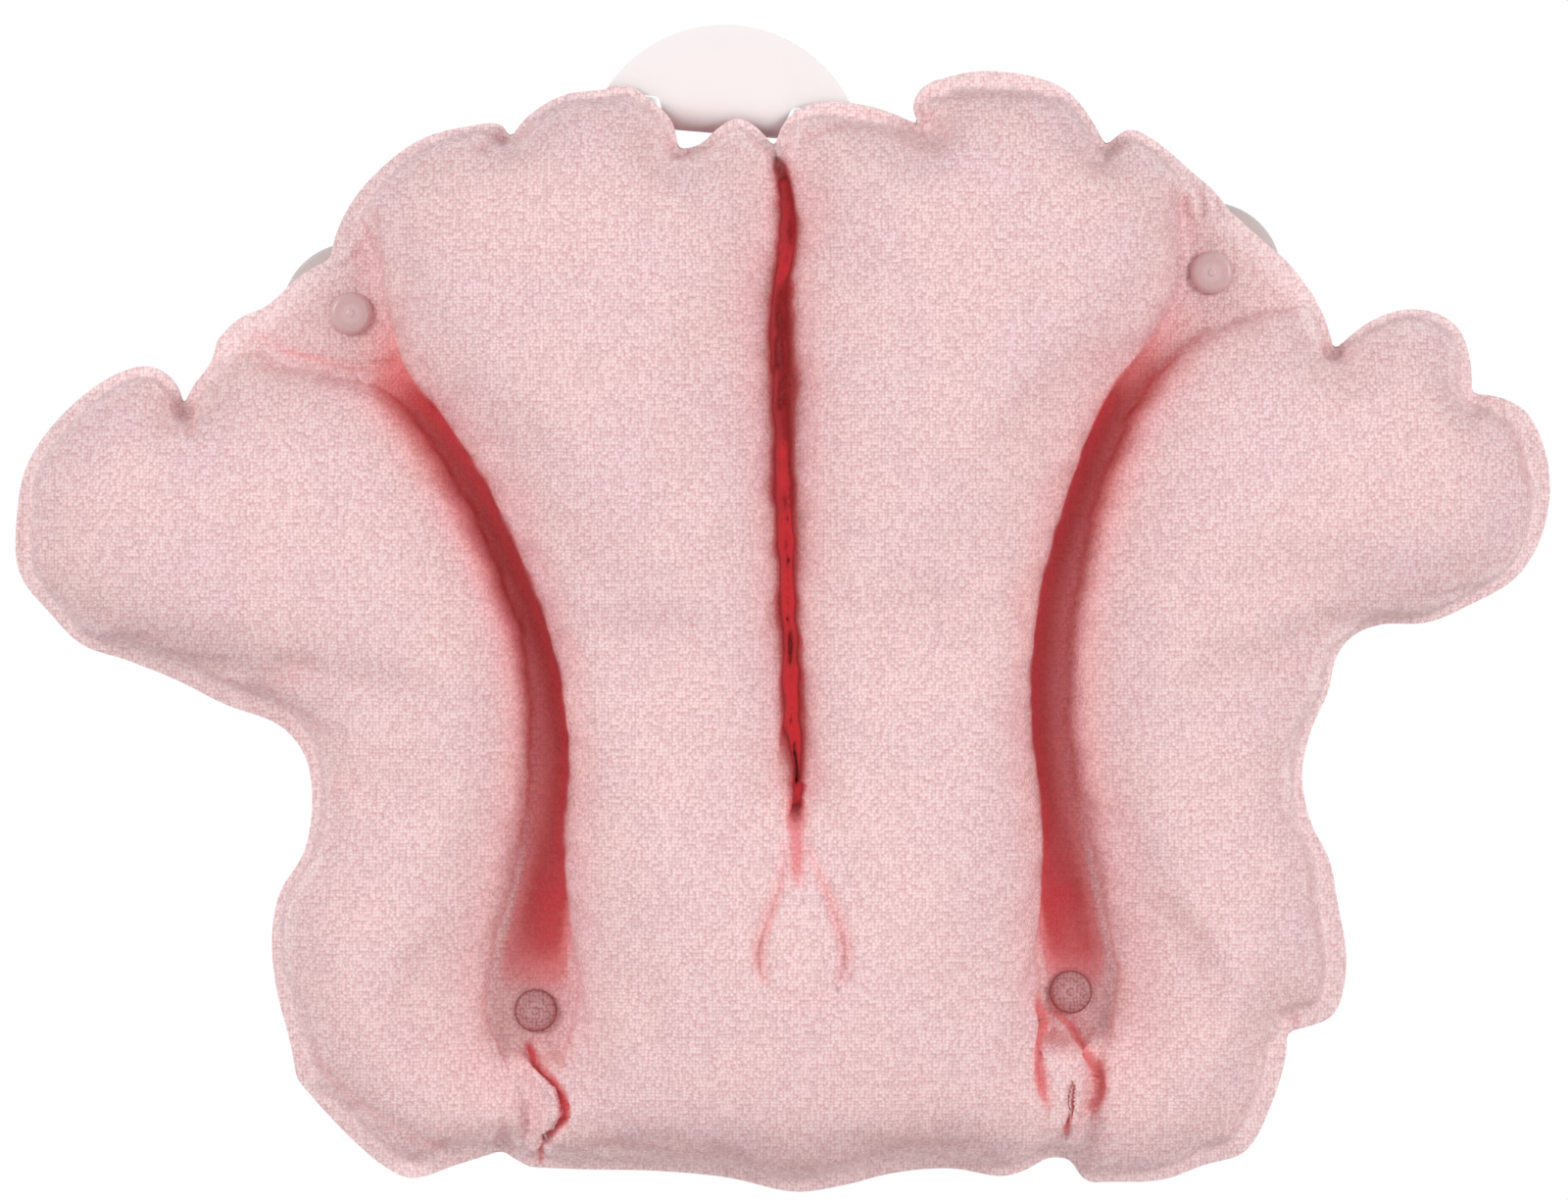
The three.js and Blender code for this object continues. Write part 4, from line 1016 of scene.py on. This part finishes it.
def joined(made, other):
    """Two overlapping solids as one."""
    union = made.modifiers.new("union", "BOOLEAN")
    union.operation = "UNION"
    union.solver = "EXACT"
    union.object = other
    settled = made.evaluated_get(bpy.context.evaluated_depsgraph_get())
    mesh = bpy.data.meshes.new_from_object(settled)
    made.modifiers.remove(union)
    made.data = mesh
    bpy.data.objects.remove(other)
    return outward(made)


def slab(name, low, high, round_by):
    """A small bar between two corners in millimetres, with rounded edges."""
    work = bmesh.new()
    bmesh.ops.create_cube(work, size=1)
    low, high = np.array(low) * MM, np.array(high) * MM
    for vertex in work.verts:
        vertex.co = Vector((low + high) / 2 + np.array(vertex.co) * (high - low))
    bmesh.ops.bevel(work, geom=work.edges[:], offset=round_by * MM, segments=3, profile=0.5, affect="EDGES")
    mesh = bpy.data.meshes.new(name)
    work.to_mesh(mesh)
    work.free()
    return outward(linked(name, mesh))


def suction_cup(name, place):
    dome = -SHOULDER_FRONT - SHOULDER_THICKNESS
    shares = np.linspace(0.24, 0.985, CUP_STEPS)
    outer = [(CUP_RADIUS / MM * s, -max(dome * math.sqrt(1 - s * s) ** CUP_ROUNDNESS, 1)) for s in shares]
    bowl = CUP_RADIUS / MM - CUP_RIM_WIDTH
    shares = np.linspace(0.96, 0, CUP_STEPS, endpoint=False)
    inner = [(bowl * s, -(dome - 2 * CUP_WALL) * math.sqrt(1 - s * s) ** CUP_ROUNDNESS) for s in shares]
    front = [(r, HEAD_BACK - HEAD_THICKNESS + y) for r, y in HEAD_SECTION]
    neck = [
        (HEAD_RADIUS, HEAD_BACK),
        (NECK_RADIUS, HEAD_BACK),
        (NECK_RADIUS, SHOULDER_FRONT),
        (SHOULDER_RADIUS, SHOULDER_FRONT),
        (SHOULDER_RADIUS, -dome),
    ]
    shell = eased([*front, *neck, outer[0]], CUP_EASE, False)
    foot = [outer[-1], (CUP_RADIUS / MM, -1), (CUP_RADIUS / MM, 0), (bowl, 0), inner[0]]
    rim = eased(foot, CUP_RIM_EASE, False)
    profile = [*shell, *outer[1:-1], *rim, *inner[1:], (0, -(dome - 2 * CUP_WALL))]
    cup = turned(f"cup_{name}", profile, place)
    finished(cup, f"cup_{name}", "clear_vinyl", LOOKS["clear"], f"suction_cup_{name}")
    section = [(NECK_RADIUS + 0.7, EYELET_FRONT), (EYELET_RADIUS, EYELET_FRONT)]
    section += [(r, y + EYELET_THICKNESS) for r, y in reversed(section)]
    eyelet = turned(f"eyelet_{name}", eased(section, EYELET_EASE, True), place, closed=True)
    finished(eyelet, "pillow_centre", "back_film", LOOKS["film"], f"eyelet_ring_{name}")


def lug(low, high):
    """A small bar beside the valve's axis, from its nearest and furthest points as radius and depth."""
    x, z = VALVE / MM
    return slab("lug", (x + low[0], low[1], z - 2), (x + high[0], high[1], z + 2), 0.25)


def valve():
    body = turned("valve_moulding", eased(VALVE_SECTION, 0.4, True), VALVE, closed=True)
    finished(joined(body, lug(*VALVE_LUG)), "pillow_centre", "valve_vinyl", LOOKS["milky"], "valve_body")
    cap = turned("stopper", eased(STOPPER_SECTION, 0.35, False), VALVE)
    finished(joined(cap, lug(*STOPPER_LUG)), "stopper", "valve_vinyl", LOOKS["milky"], "valve_stopper")
    flap = turned("check_flap", eased(FLAP_SECTION, 0.2, False), VALVE)
    finished(flap, "check_flap", "clear_vinyl", LOOKS["clear"], "valve_flap")


def cut_sheet(name, loop, step, laid, thickness):
    """A thin sheet cut to an outline, with rounded edges. laid gives its points' places and directions."""
    tree = nearest_tree(loop)
    sieve = Sieve(step)
    sieve.add(loop, 0)
    turn = np.sign((loop[:, 0] * np.roll(loop[:, 1], -1) - loop[:, 1] * np.roll(loop[:, 0], -1)).sum())
    for inset in (0.12, 0.35, 0.8):
        moved = loop + sideways(loop, closed=True) * turn * inset * MM
        moved = moved[distances(moved, tree) > inset * 0.9 * MM]
        sieve.add(moved, 0.3 * step)
    xs = np.arange(loop[:, 0].min(), loop[:, 0].max(), step)
    zs = np.arange(loop[:, 1].min(), loop[:, 1].max(), step)
    lattice = np.array([(a, b) for b in zs for a in xs])
    lattice = lattice[inside(lattice, loop)]
    sieve.add(lattice[distances(lattice, tree) > step * 0.6], step * 0.6)
    edges = [(i, (i + 1) % len(loop)) for i in range(len(loop))]
    points, faces = triangulated(sieve.points, edges)
    faces = faces[inside(points[faces].mean(1), loop)]
    middle, facing = laid(points)
    away = np.clip(distances(points, tree) / (0.9 * MM), 0, 1)
    half = thickness / 2 * np.maximum(np.sqrt(1 - (1 - away) ** 2), 0.1)
    count = len(points)
    both = np.vstack([middle + facing * half[:, None], middle - facing * half[:, None]])
    return outward(new_object(name, both, [*faces, *(faces[:, ::-1] + count), *walls_of(faces, count)]))


def tilted(laid, facing):
    """Turns points laid beside the tab's fold to the tab's tilt and takes them to its place."""
    cos, sin = math.cos(TAB_TILT), math.sin(TAB_TILT)
    turn = np.array([[cos, 0, sin], [0, 1, 0], [-sin, 0, cos]])
    place = placed([TAB_FOLD_SHARE])[0]
    return laid @ turn.T + (place[0], 0, place[1]), facing @ turn.T


def on_tab(points):
    """Lays plan points on the tab: flat above its fold line and curled towards the wall below it."""
    x, along = points[:, 0], points[:, 1]
    radius = (TAB_CURL_RADIUS - TAB_THICKNESS / 2) * MM
    angle = np.clip(-along / radius, 0, None)
    depth = TAB_MIDDLE * MM + radius * (1 - np.cos(angle))
    rise = np.where(along > 0, along, -radius * np.sin(angle))
    facing = np.stack([np.zeros_like(x), -np.cos(angle), -np.sin(angle)], axis=1)
    return tilted(np.stack([x, depth, rise], axis=1), facing)


def on_ear(points):
    """Lays an ear's plan points flat behind the web, in the tab's tilted frame."""
    laid = np.stack([points[:, 0], np.full(len(points), TAB_MIDDLE * MM), points[:, 1]], axis=1)
    return tilted(laid, np.tile((0.0, -1.0, 0.0), (len(points), 1)))


def softened(corners, radius, step):
    """An evenly stepped closed outline with rounded corners, from corners in millimetres."""
    run = np.array(eased(corners, radius, True)) * MM
    return evenly(np.vstack([run, run[:1]]), step)[:-1]


def tab():
    below = TAB_RADIUS - TAB_RISE
    horizon = math.asin(below / TAB_RADIUS)
    turns = np.linspace(horizon, math.pi - horizon, 60)
    dome = [(TAB_RADIUS * math.cos(a), TAB_RADIUS * math.sin(a) - below) for a in turns]
    plan = softened([*dome, *TONGUE_PLAN], 1.5, 1.2 * MM)
    made = cut_sheet("tab", plan, 3 * MM, on_tab, TAB_THICKNESS * MM)
    finished(made, "tab", "white_vinyl", LOOKS["white"], "hanging_tab")
    for side, start in EAR_STARTS.items():
        end = start + EAR_WIDTH
        plan = [(start, EAR_TOP), (start, EAR_BOTTOM), (end, EAR_BOTTOM), (end, EAR_TOP)]
        plan = softened(plan, 0.9, 0.8 * MM)
        made = cut_sheet(f"tab_ear_{side}", plan, 1.5 * MM, on_ear, TAB_THICKNESS * MM)
        finished(made, "pillow_centre", "white_vinyl", LOOKS["white"], f"hanging_tab_ear_{side}")


def linear(red, green, blue):
    """A screen colour, 0 to 255, as the linear one that shaders take."""
    values = [c / 255 for c in (red, green, blue)]
    return tuple(c / 12.92 if c < 0.04 else ((c + 0.055) / 1.055) ** 2.4 for c in values)


class Look:
    """A material's node tree, built up step by step."""

    def __init__(self, name, roughness, specular=0.5):
        self.material = bpy.data.materials.new(name)
        self.material.use_nodes = True
        self.nodes = self.material.node_tree.nodes
        self.links = self.material.node_tree.links
        self.shader = self.nodes["Principled BSDF"]
        self.set(self.shader, Roughness=roughness, **{"Specular IOR Level": specular})
        self.place = self.add("ShaderNodeTexCoord").outputs["Object"]

    def put(self, value, socket):
        """Links another node's output to a socket, or sets a number or a colour on it."""
        if isinstance(value, bpy.types.NodeSocket):
            self.links.new(value, socket)
        elif isinstance(value, tuple) and len(value) == 3:
            socket.default_value = (*value, 1)
        else:
            socket.default_value = value

    def set(self, node, **values):
        for name, value in values.items():
            self.put(value, node.inputs[name])

    def add(self, kind, **settings):
        node = self.nodes.new(kind)
        for name, value in settings.items():
            setattr(node, name, value)
        return node

    def axes(self, vector):
        node = self.add("ShaderNodeSeparateXYZ")
        self.put(vector, node.inputs[0])
        return node.outputs

    def noise(self, scale, detail=2):
        node = self.add("ShaderNodeTexNoise")
        self.set(node, Vector=self.place, Scale=scale, Detail=detail)
        return node.outputs["Fac"]

    def cells(self, scale, randomness):
        node = self.add("ShaderNodeTexVoronoi")
        self.set(node, Vector=self.place, Scale=scale, Randomness=randomness)
        return node.outputs["Distance"]

    def loops(self, per_metre, randomness):
        """Rows of loops seen from the front, unordered where the surface turns away, and their chance."""
        place = self.axes(self.place)
        plan = self.add("ShaderNodeCombineXYZ")
        self.set(plan, X=place["X"], Y=place["Z"])
        rows = self.add("ShaderNodeTexVoronoi", voronoi_dimensions="2D")
        self.set(rows, Vector=plan.outputs[0], Scale=per_metre, Randomness=randomness)
        facing = self.axes(self.add("ShaderNodeNewGeometry").outputs["Normal"])
        share = self.span(self.away(facing["Y"], 0.0), 0.3, 0.55)
        mixed = self.add("ShaderNodeMix", data_type="FLOAT")
        for value, socket in zip((share, self.cells(per_metre, 0.9), rows.outputs["Distance"]), (0, 2, 3)):
            self.put(value, mixed.inputs[socket])
        return mixed.outputs[0], self.times(rows.outputs["Color"], 1.0)

    def stored(self, name):
        return self.add("ShaderNodeAttribute", attribute_name=name).outputs["Fac"]

    def math(self, operation, first, second):
        node = self.add("ShaderNodeMath", operation=operation)
        self.put(first, node.inputs[0])
        self.put(second, node.inputs[1])
        return node.outputs[0]

    def times(self, first, second):
        return self.math("MULTIPLY", first, second)

    def away(self, value, middle):
        """How far a value is from a middle, either way."""
        return self.math("ABSOLUTE", self.math("SUBTRACT", value, middle), 0.0)

    def span(self, value, low, high, to_low=0.0, to_high=1.0):
        """The value's place between low and high, eased at both ends, from to_low to to_high."""
        node = self.add("ShaderNodeMapRange", interpolation_type="SMOOTHSTEP")
        ends = {"From Min": low, "From Max": high, "To Min": to_low, "To Max": to_high}
        self.set(node, Value=value, **ends)
        return node.outputs["Result"]

    def ramp(self, value, stops):
        node = self.add("ShaderNodeValToRGB")
        self.put(value, node.inputs["Fac"])
        elements = node.color_ramp.elements
        for _ in stops[2:]:
            elements.new(0.5)
        for element, (position, colour) in zip(elements, stops):
            element.position = position
            element.color = (*colour, 1)
        return node.outputs["Color"]

    def mixed(self, share, first, second, blend="MIX"):
        node = self.add("ShaderNodeMix", data_type="RGBA", blend_type=blend)
        for value, socket in zip((share, first, second), (0, 6, 7)):
            self.put(value, node.inputs[socket])
        return node.outputs[2]

    def bumped(self, height, distance, strength=1.0, before=None):
        node = self.add("ShaderNodeBump")
        self.set(node, Height=height, Distance=distance, Strength=strength)
        if before is not None:
            self.put(before, node.inputs["Normal"])
        return node.outputs["Normal"]

    def done(self, normal, **values):
        self.put(normal, self.shader.inputs["Normal"])
        self.set(self.shader, **values)
        return self.material


# The terry's colour by painted shade, from the open lobes to the deepest folds. Its darker, redder tones
# stand in for shade and for light bounced between the folds' pink walls
TERRY_TONES = [
    (0.00, (0.93, 0.69, 0.69)),
    (0.20, (0.98, 0.64, 0.64)),
    (0.40, (0.91, 0.37, 0.375)),
    (0.58, (0.88, 0.29, 0.30)),
    (0.76, (0.72, 0.15, 0.155)),
    (0.88, (0.66, 0.06, 0.075)),
    (1.00, (0.92, 0.06, 0.08)),
]
LOOPS_PER_METRE = 840


def terry_look():
    look = Look("terry", 0.95, 0.15)
    shade = look.stored("shade")
    # The colour darkens and reddens with the painted shade
    tone = look.ramp(shade, TERRY_TONES)
    patches = look.span(look.noise(34, 3), 0.35, 0.65)
    tone = look.mixed(1.0, tone, look.mixed(patches, (0.975, 0.965, 0.985), (1.0, 0.985, 0.975)), "MULTIPLY")
    # Painted light: the rim is painted paler where little shade is painted, offsetting the shade that the
    # lobes cast on it
    painted_rim_light = look.times(look.stored("rim"), look.span(shade, 0.4, 0.1))
    tone = look.mixed(painted_rim_light, tone, (1.0, 0.79, 0.79))
    # Loops of yarn, with painted shade in the gaps between them and painted highlights on their paler tips,
    # each loop a little lighter or darker
    open_share = look.span(shade, 0.75, 0.1, 0.5, 1.0)
    loops, chance = look.loops(LOOPS_PER_METRE, 0.6)
    gap_shade = look.times(look.times(look.span(loops, 0.36, 0.72), open_share), 0.6)
    tone = look.mixed(gap_shade, tone, (0.72, 0.54, 0.55), "MULTIPLY")
    uneven = look.mixed(look.span(chance, 0.1, 0.9), (0.89, 0.83, 0.84), (1.04, 1.03, 1.03))
    tone = look.mixed(open_share, tone, uneven, "MULTIPLY")
    tip_highlights = look.times(look.span(loops, 0.35, 0.05), look.span(shade, 0.5, 0.1))
    tone = look.mixed(look.times(tip_highlights, look.times(chance, 0.8)), tone, (0.98, 0.86, 0.86))
    pile = look.math("SUBTRACT", look.times(look.noise(900, 2), 0.7), loops)
    normal = look.bumped(pile, 0.8 * MM, 0.45)
    normal = look.bumped(look.noise(70, 3), 0.8 * MM, 0.3, normal)
    squares = look.times(look.cells(380, 0.1), look.stored("weld"))
    normal = look.bumped(squares, 0.3 * MM, 0.15, normal)
    # Painted light: the deepest folds glow red by emission, standing in for light passed on through the thin
    # knit and bounced between the folds
    painted_glow = look.span(shade, 0.75, 1.0, 0.0, 0.15)
    look.set(look.shader, **{"Emission Color": (1.0, 0.17, 0.20), "Emission Strength": painted_glow})
    sheen = {"Sheen Weight": 0.1, "Sheen Roughness": 0.6, "Sheen Tint": linear(255, 225, 225)}
    return look.done(normal, **{"Base Color": tone}, **sheen)


def film_look():
    look = Look("film", 0.38, 0.45)
    weld = look.stored("weld")
    tone = look.mixed(look.noise(60, 2), linear(226, 168, 172), linear(233, 180, 182))
    tone = look.mixed(weld, tone, linear(208, 138, 144))
    normal = look.bumped(look.noise(700, 3), 0.12 * MM, 0.3)
    normal = look.bumped(look.times(look.cells(520, 0.0), weld), 0.35 * MM, 0.6, normal)
    normal = look.bumped(look.noise(45, 3), 1.2 * MM, 0.5, normal)
    gloss = look.span(look.noise(240, 2), 0.3, 0.7, 0.32, 0.46)
    return look.done(normal, **{"Base Color": tone, "Roughness": gloss})


def clear_look():
    """Clear vinyl. The snap head lets some light through and has the fabric behind it painted on, with
    painted shade at its edge, a moulding mark, and painted paler on the heads higher up.
    """
    look = Look("clear", 0.1, 0.5)
    place = look.axes(look.place)
    head = look.span(place["Y"], -21.5 * MM, -24.0 * MM)
    radius = look.stored("radius")
    # The fabric behind the head, painted on it, with painted shade at its edge
    loops, _ = look.loops(LOOPS_PER_METRE, 0.6)
    fabric = look.mixed(look.span(loops, 0.25, 0.7), linear(230, 172, 174), linear(194, 126, 128))
    edge = look.span(look.away(radius, HEAD_RADIUS - 0.35), 0.55, 0.1)
    fabric = look.mixed(look.times(edge, 0.6), fabric, linear(158, 80, 84))
    mark = look.span(look.away(radius, 1.2), 0.5, 0.1)
    fabric = look.mixed(look.times(mark, 0.35), fabric, linear(160, 90, 92))
    # Painted light: heads higher up are painted paler
    upper = look.span(place["Z"], -20 * MM, 20 * MM)
    fabric = look.mixed(look.times(upper, 0.85), fabric, linear(246, 212, 212))
    tone = look.mixed(head, linear(226, 208, 206), fabric)
    haze = look.span(look.noise(300, 2), 0.3, 0.7, 0.08, 0.2)
    through = look.span(head, 0.0, 1.0, 0.4, 0.3)
    normal = look.bumped(look.noise(160, 2), 0.35 * MM, 0.4)
    values = {"Base Color": tone, "Transmission Weight": through, "IOR": 1.46, "Roughness": haze}
    return look.done(normal, **values)


def milky_look():
    look = Look("milky", 0.28, 0.5)
    normal = look.bumped(look.noise(300, 2), 0.15 * MM, 0.4)
    values = {"Base Color": linear(236, 232, 226), "Transmission Weight": 0.35, "IOR": 1.46}
    return look.done(normal, **values)


def white_look():
    look = Look("white", 0.36, 0.45)
    normal = look.bumped(look.noise(900, 2), 0.06 * MM, 0.3)
    normal = look.bumped(look.noise(30, 2), 0.8 * MM, 0.4, normal)
    tone = look.mixed(look.noise(25, 2), linear(247, 242, 242), linear(244, 238, 237))
    return look.done(normal, **{"Base Color": tone})


LOOKS = {
    "terry": terry_look(),
    "film": film_look(),
    "clear": clear_look(),
    "milky": milky_look(),
    "white": white_look(),
}

for half, body in zip(front_halves(), ("left_wing", "right_wing")):
    finished(half, body, "terry", LOOKS["terry"], f"front_{body}_panel", "front_centre_panel")
for half, body in zip(back_halves(), ("left_wing", "right_wing")):
    finished(half, body, "back_film", LOOKS["film"], f"back_{body}_panel", "back_centre_panel")
for name, place in CUPS.items():
    suction_cup(name, place)
valve()
tab()

# Light, floor and camera
PIXEL = 0.35 * MM
PHOTO_WIDTH = 1600
PHOTO_HEIGHT = 1224
ORIGIN_ROW = 660
FLOOR_HEIGHT = -0.26
FLOOR_POINTS = 64
LIGHT_SIZE = 1.2
# Each light's place and power
LIGHTS = {"left": ((-1.8, -1.7, 0.8), 24), "right": ((1.8, -1.7, 0.5), 23)}

for name, (place, power) in LIGHTS.items():
    data = bpy.data.lights.new(name, "AREA")
    data.shape = "DISK"
    data.size = LIGHT_SIZE
    data.energy = power
    light = linked(name, data)
    light.location = place
    light.rotation_euler = (-Vector(place)).to_track_quat("-Z", "Y").to_euler()

turns = np.arange(FLOOR_POINTS) * 2 * math.pi / FLOOR_POINTS
floor = new_object("floor", [(math.cos(t), math.sin(t), FLOOR_HEIGHT) for t in turns], [range(FLOOR_POINTS)])
look = Look("floor", 0.9, 0.1)
grain = look.bumped(look.noise(40, 2), 0.2 * MM, 0.1)
floor.data.materials.append(look.done(grain, **{"Base Color": (0.86, 0.86, 0.86)}))

# The world lights the part at half strength and shows as white to the camera, in gloss and through vinyl
world = bpy.data.worlds.new("world")
bpy.context.scene.world = world
world.use_nodes = True
nodes, links = world.node_tree.nodes, world.node_tree.links
path = nodes.new("ShaderNodeLightPath")
shown = path.outputs["Is Camera Ray"]
for kind in ("Is Glossy Ray", "Is Transmission Ray"):
    either = nodes.new("ShaderNodeMath")
    either.operation = "MAXIMUM"
    links.new(shown, either.inputs[0])
    links.new(path.outputs[kind], either.inputs[1])
    shown = either.outputs[0]
strength = nodes.new("ShaderNodeMapRange")
strength.inputs["To Min"].default_value = 0.5
strength.inputs["To Max"].default_value = 1.0
links.new(shown, strength.inputs["Value"])
links.new(strength.outputs["Result"], nodes["Background"].inputs["Strength"])
nodes["Background"].inputs["Color"].default_value = (1, 1, 1, 1)

camera = linked("camera", bpy.data.cameras.new("camera"))
camera.data.lens = 250
camera.data.sensor_width = 36
camera.data.dof.use_dof = False
distance = PHOTO_WIDTH * PIXEL * camera.data.lens / camera.data.sensor_width
camera.location = (0, -WELD_STANDOFF - distance, (ORIGIN_ROW - PHOTO_HEIGHT / 2) * PIXEL)
camera.rotation_euler = (math.pi / 2, 0, 0)
bpy.context.scene.camera = camera
bpy.context.scene.view_settings.view_transform = "Standard"
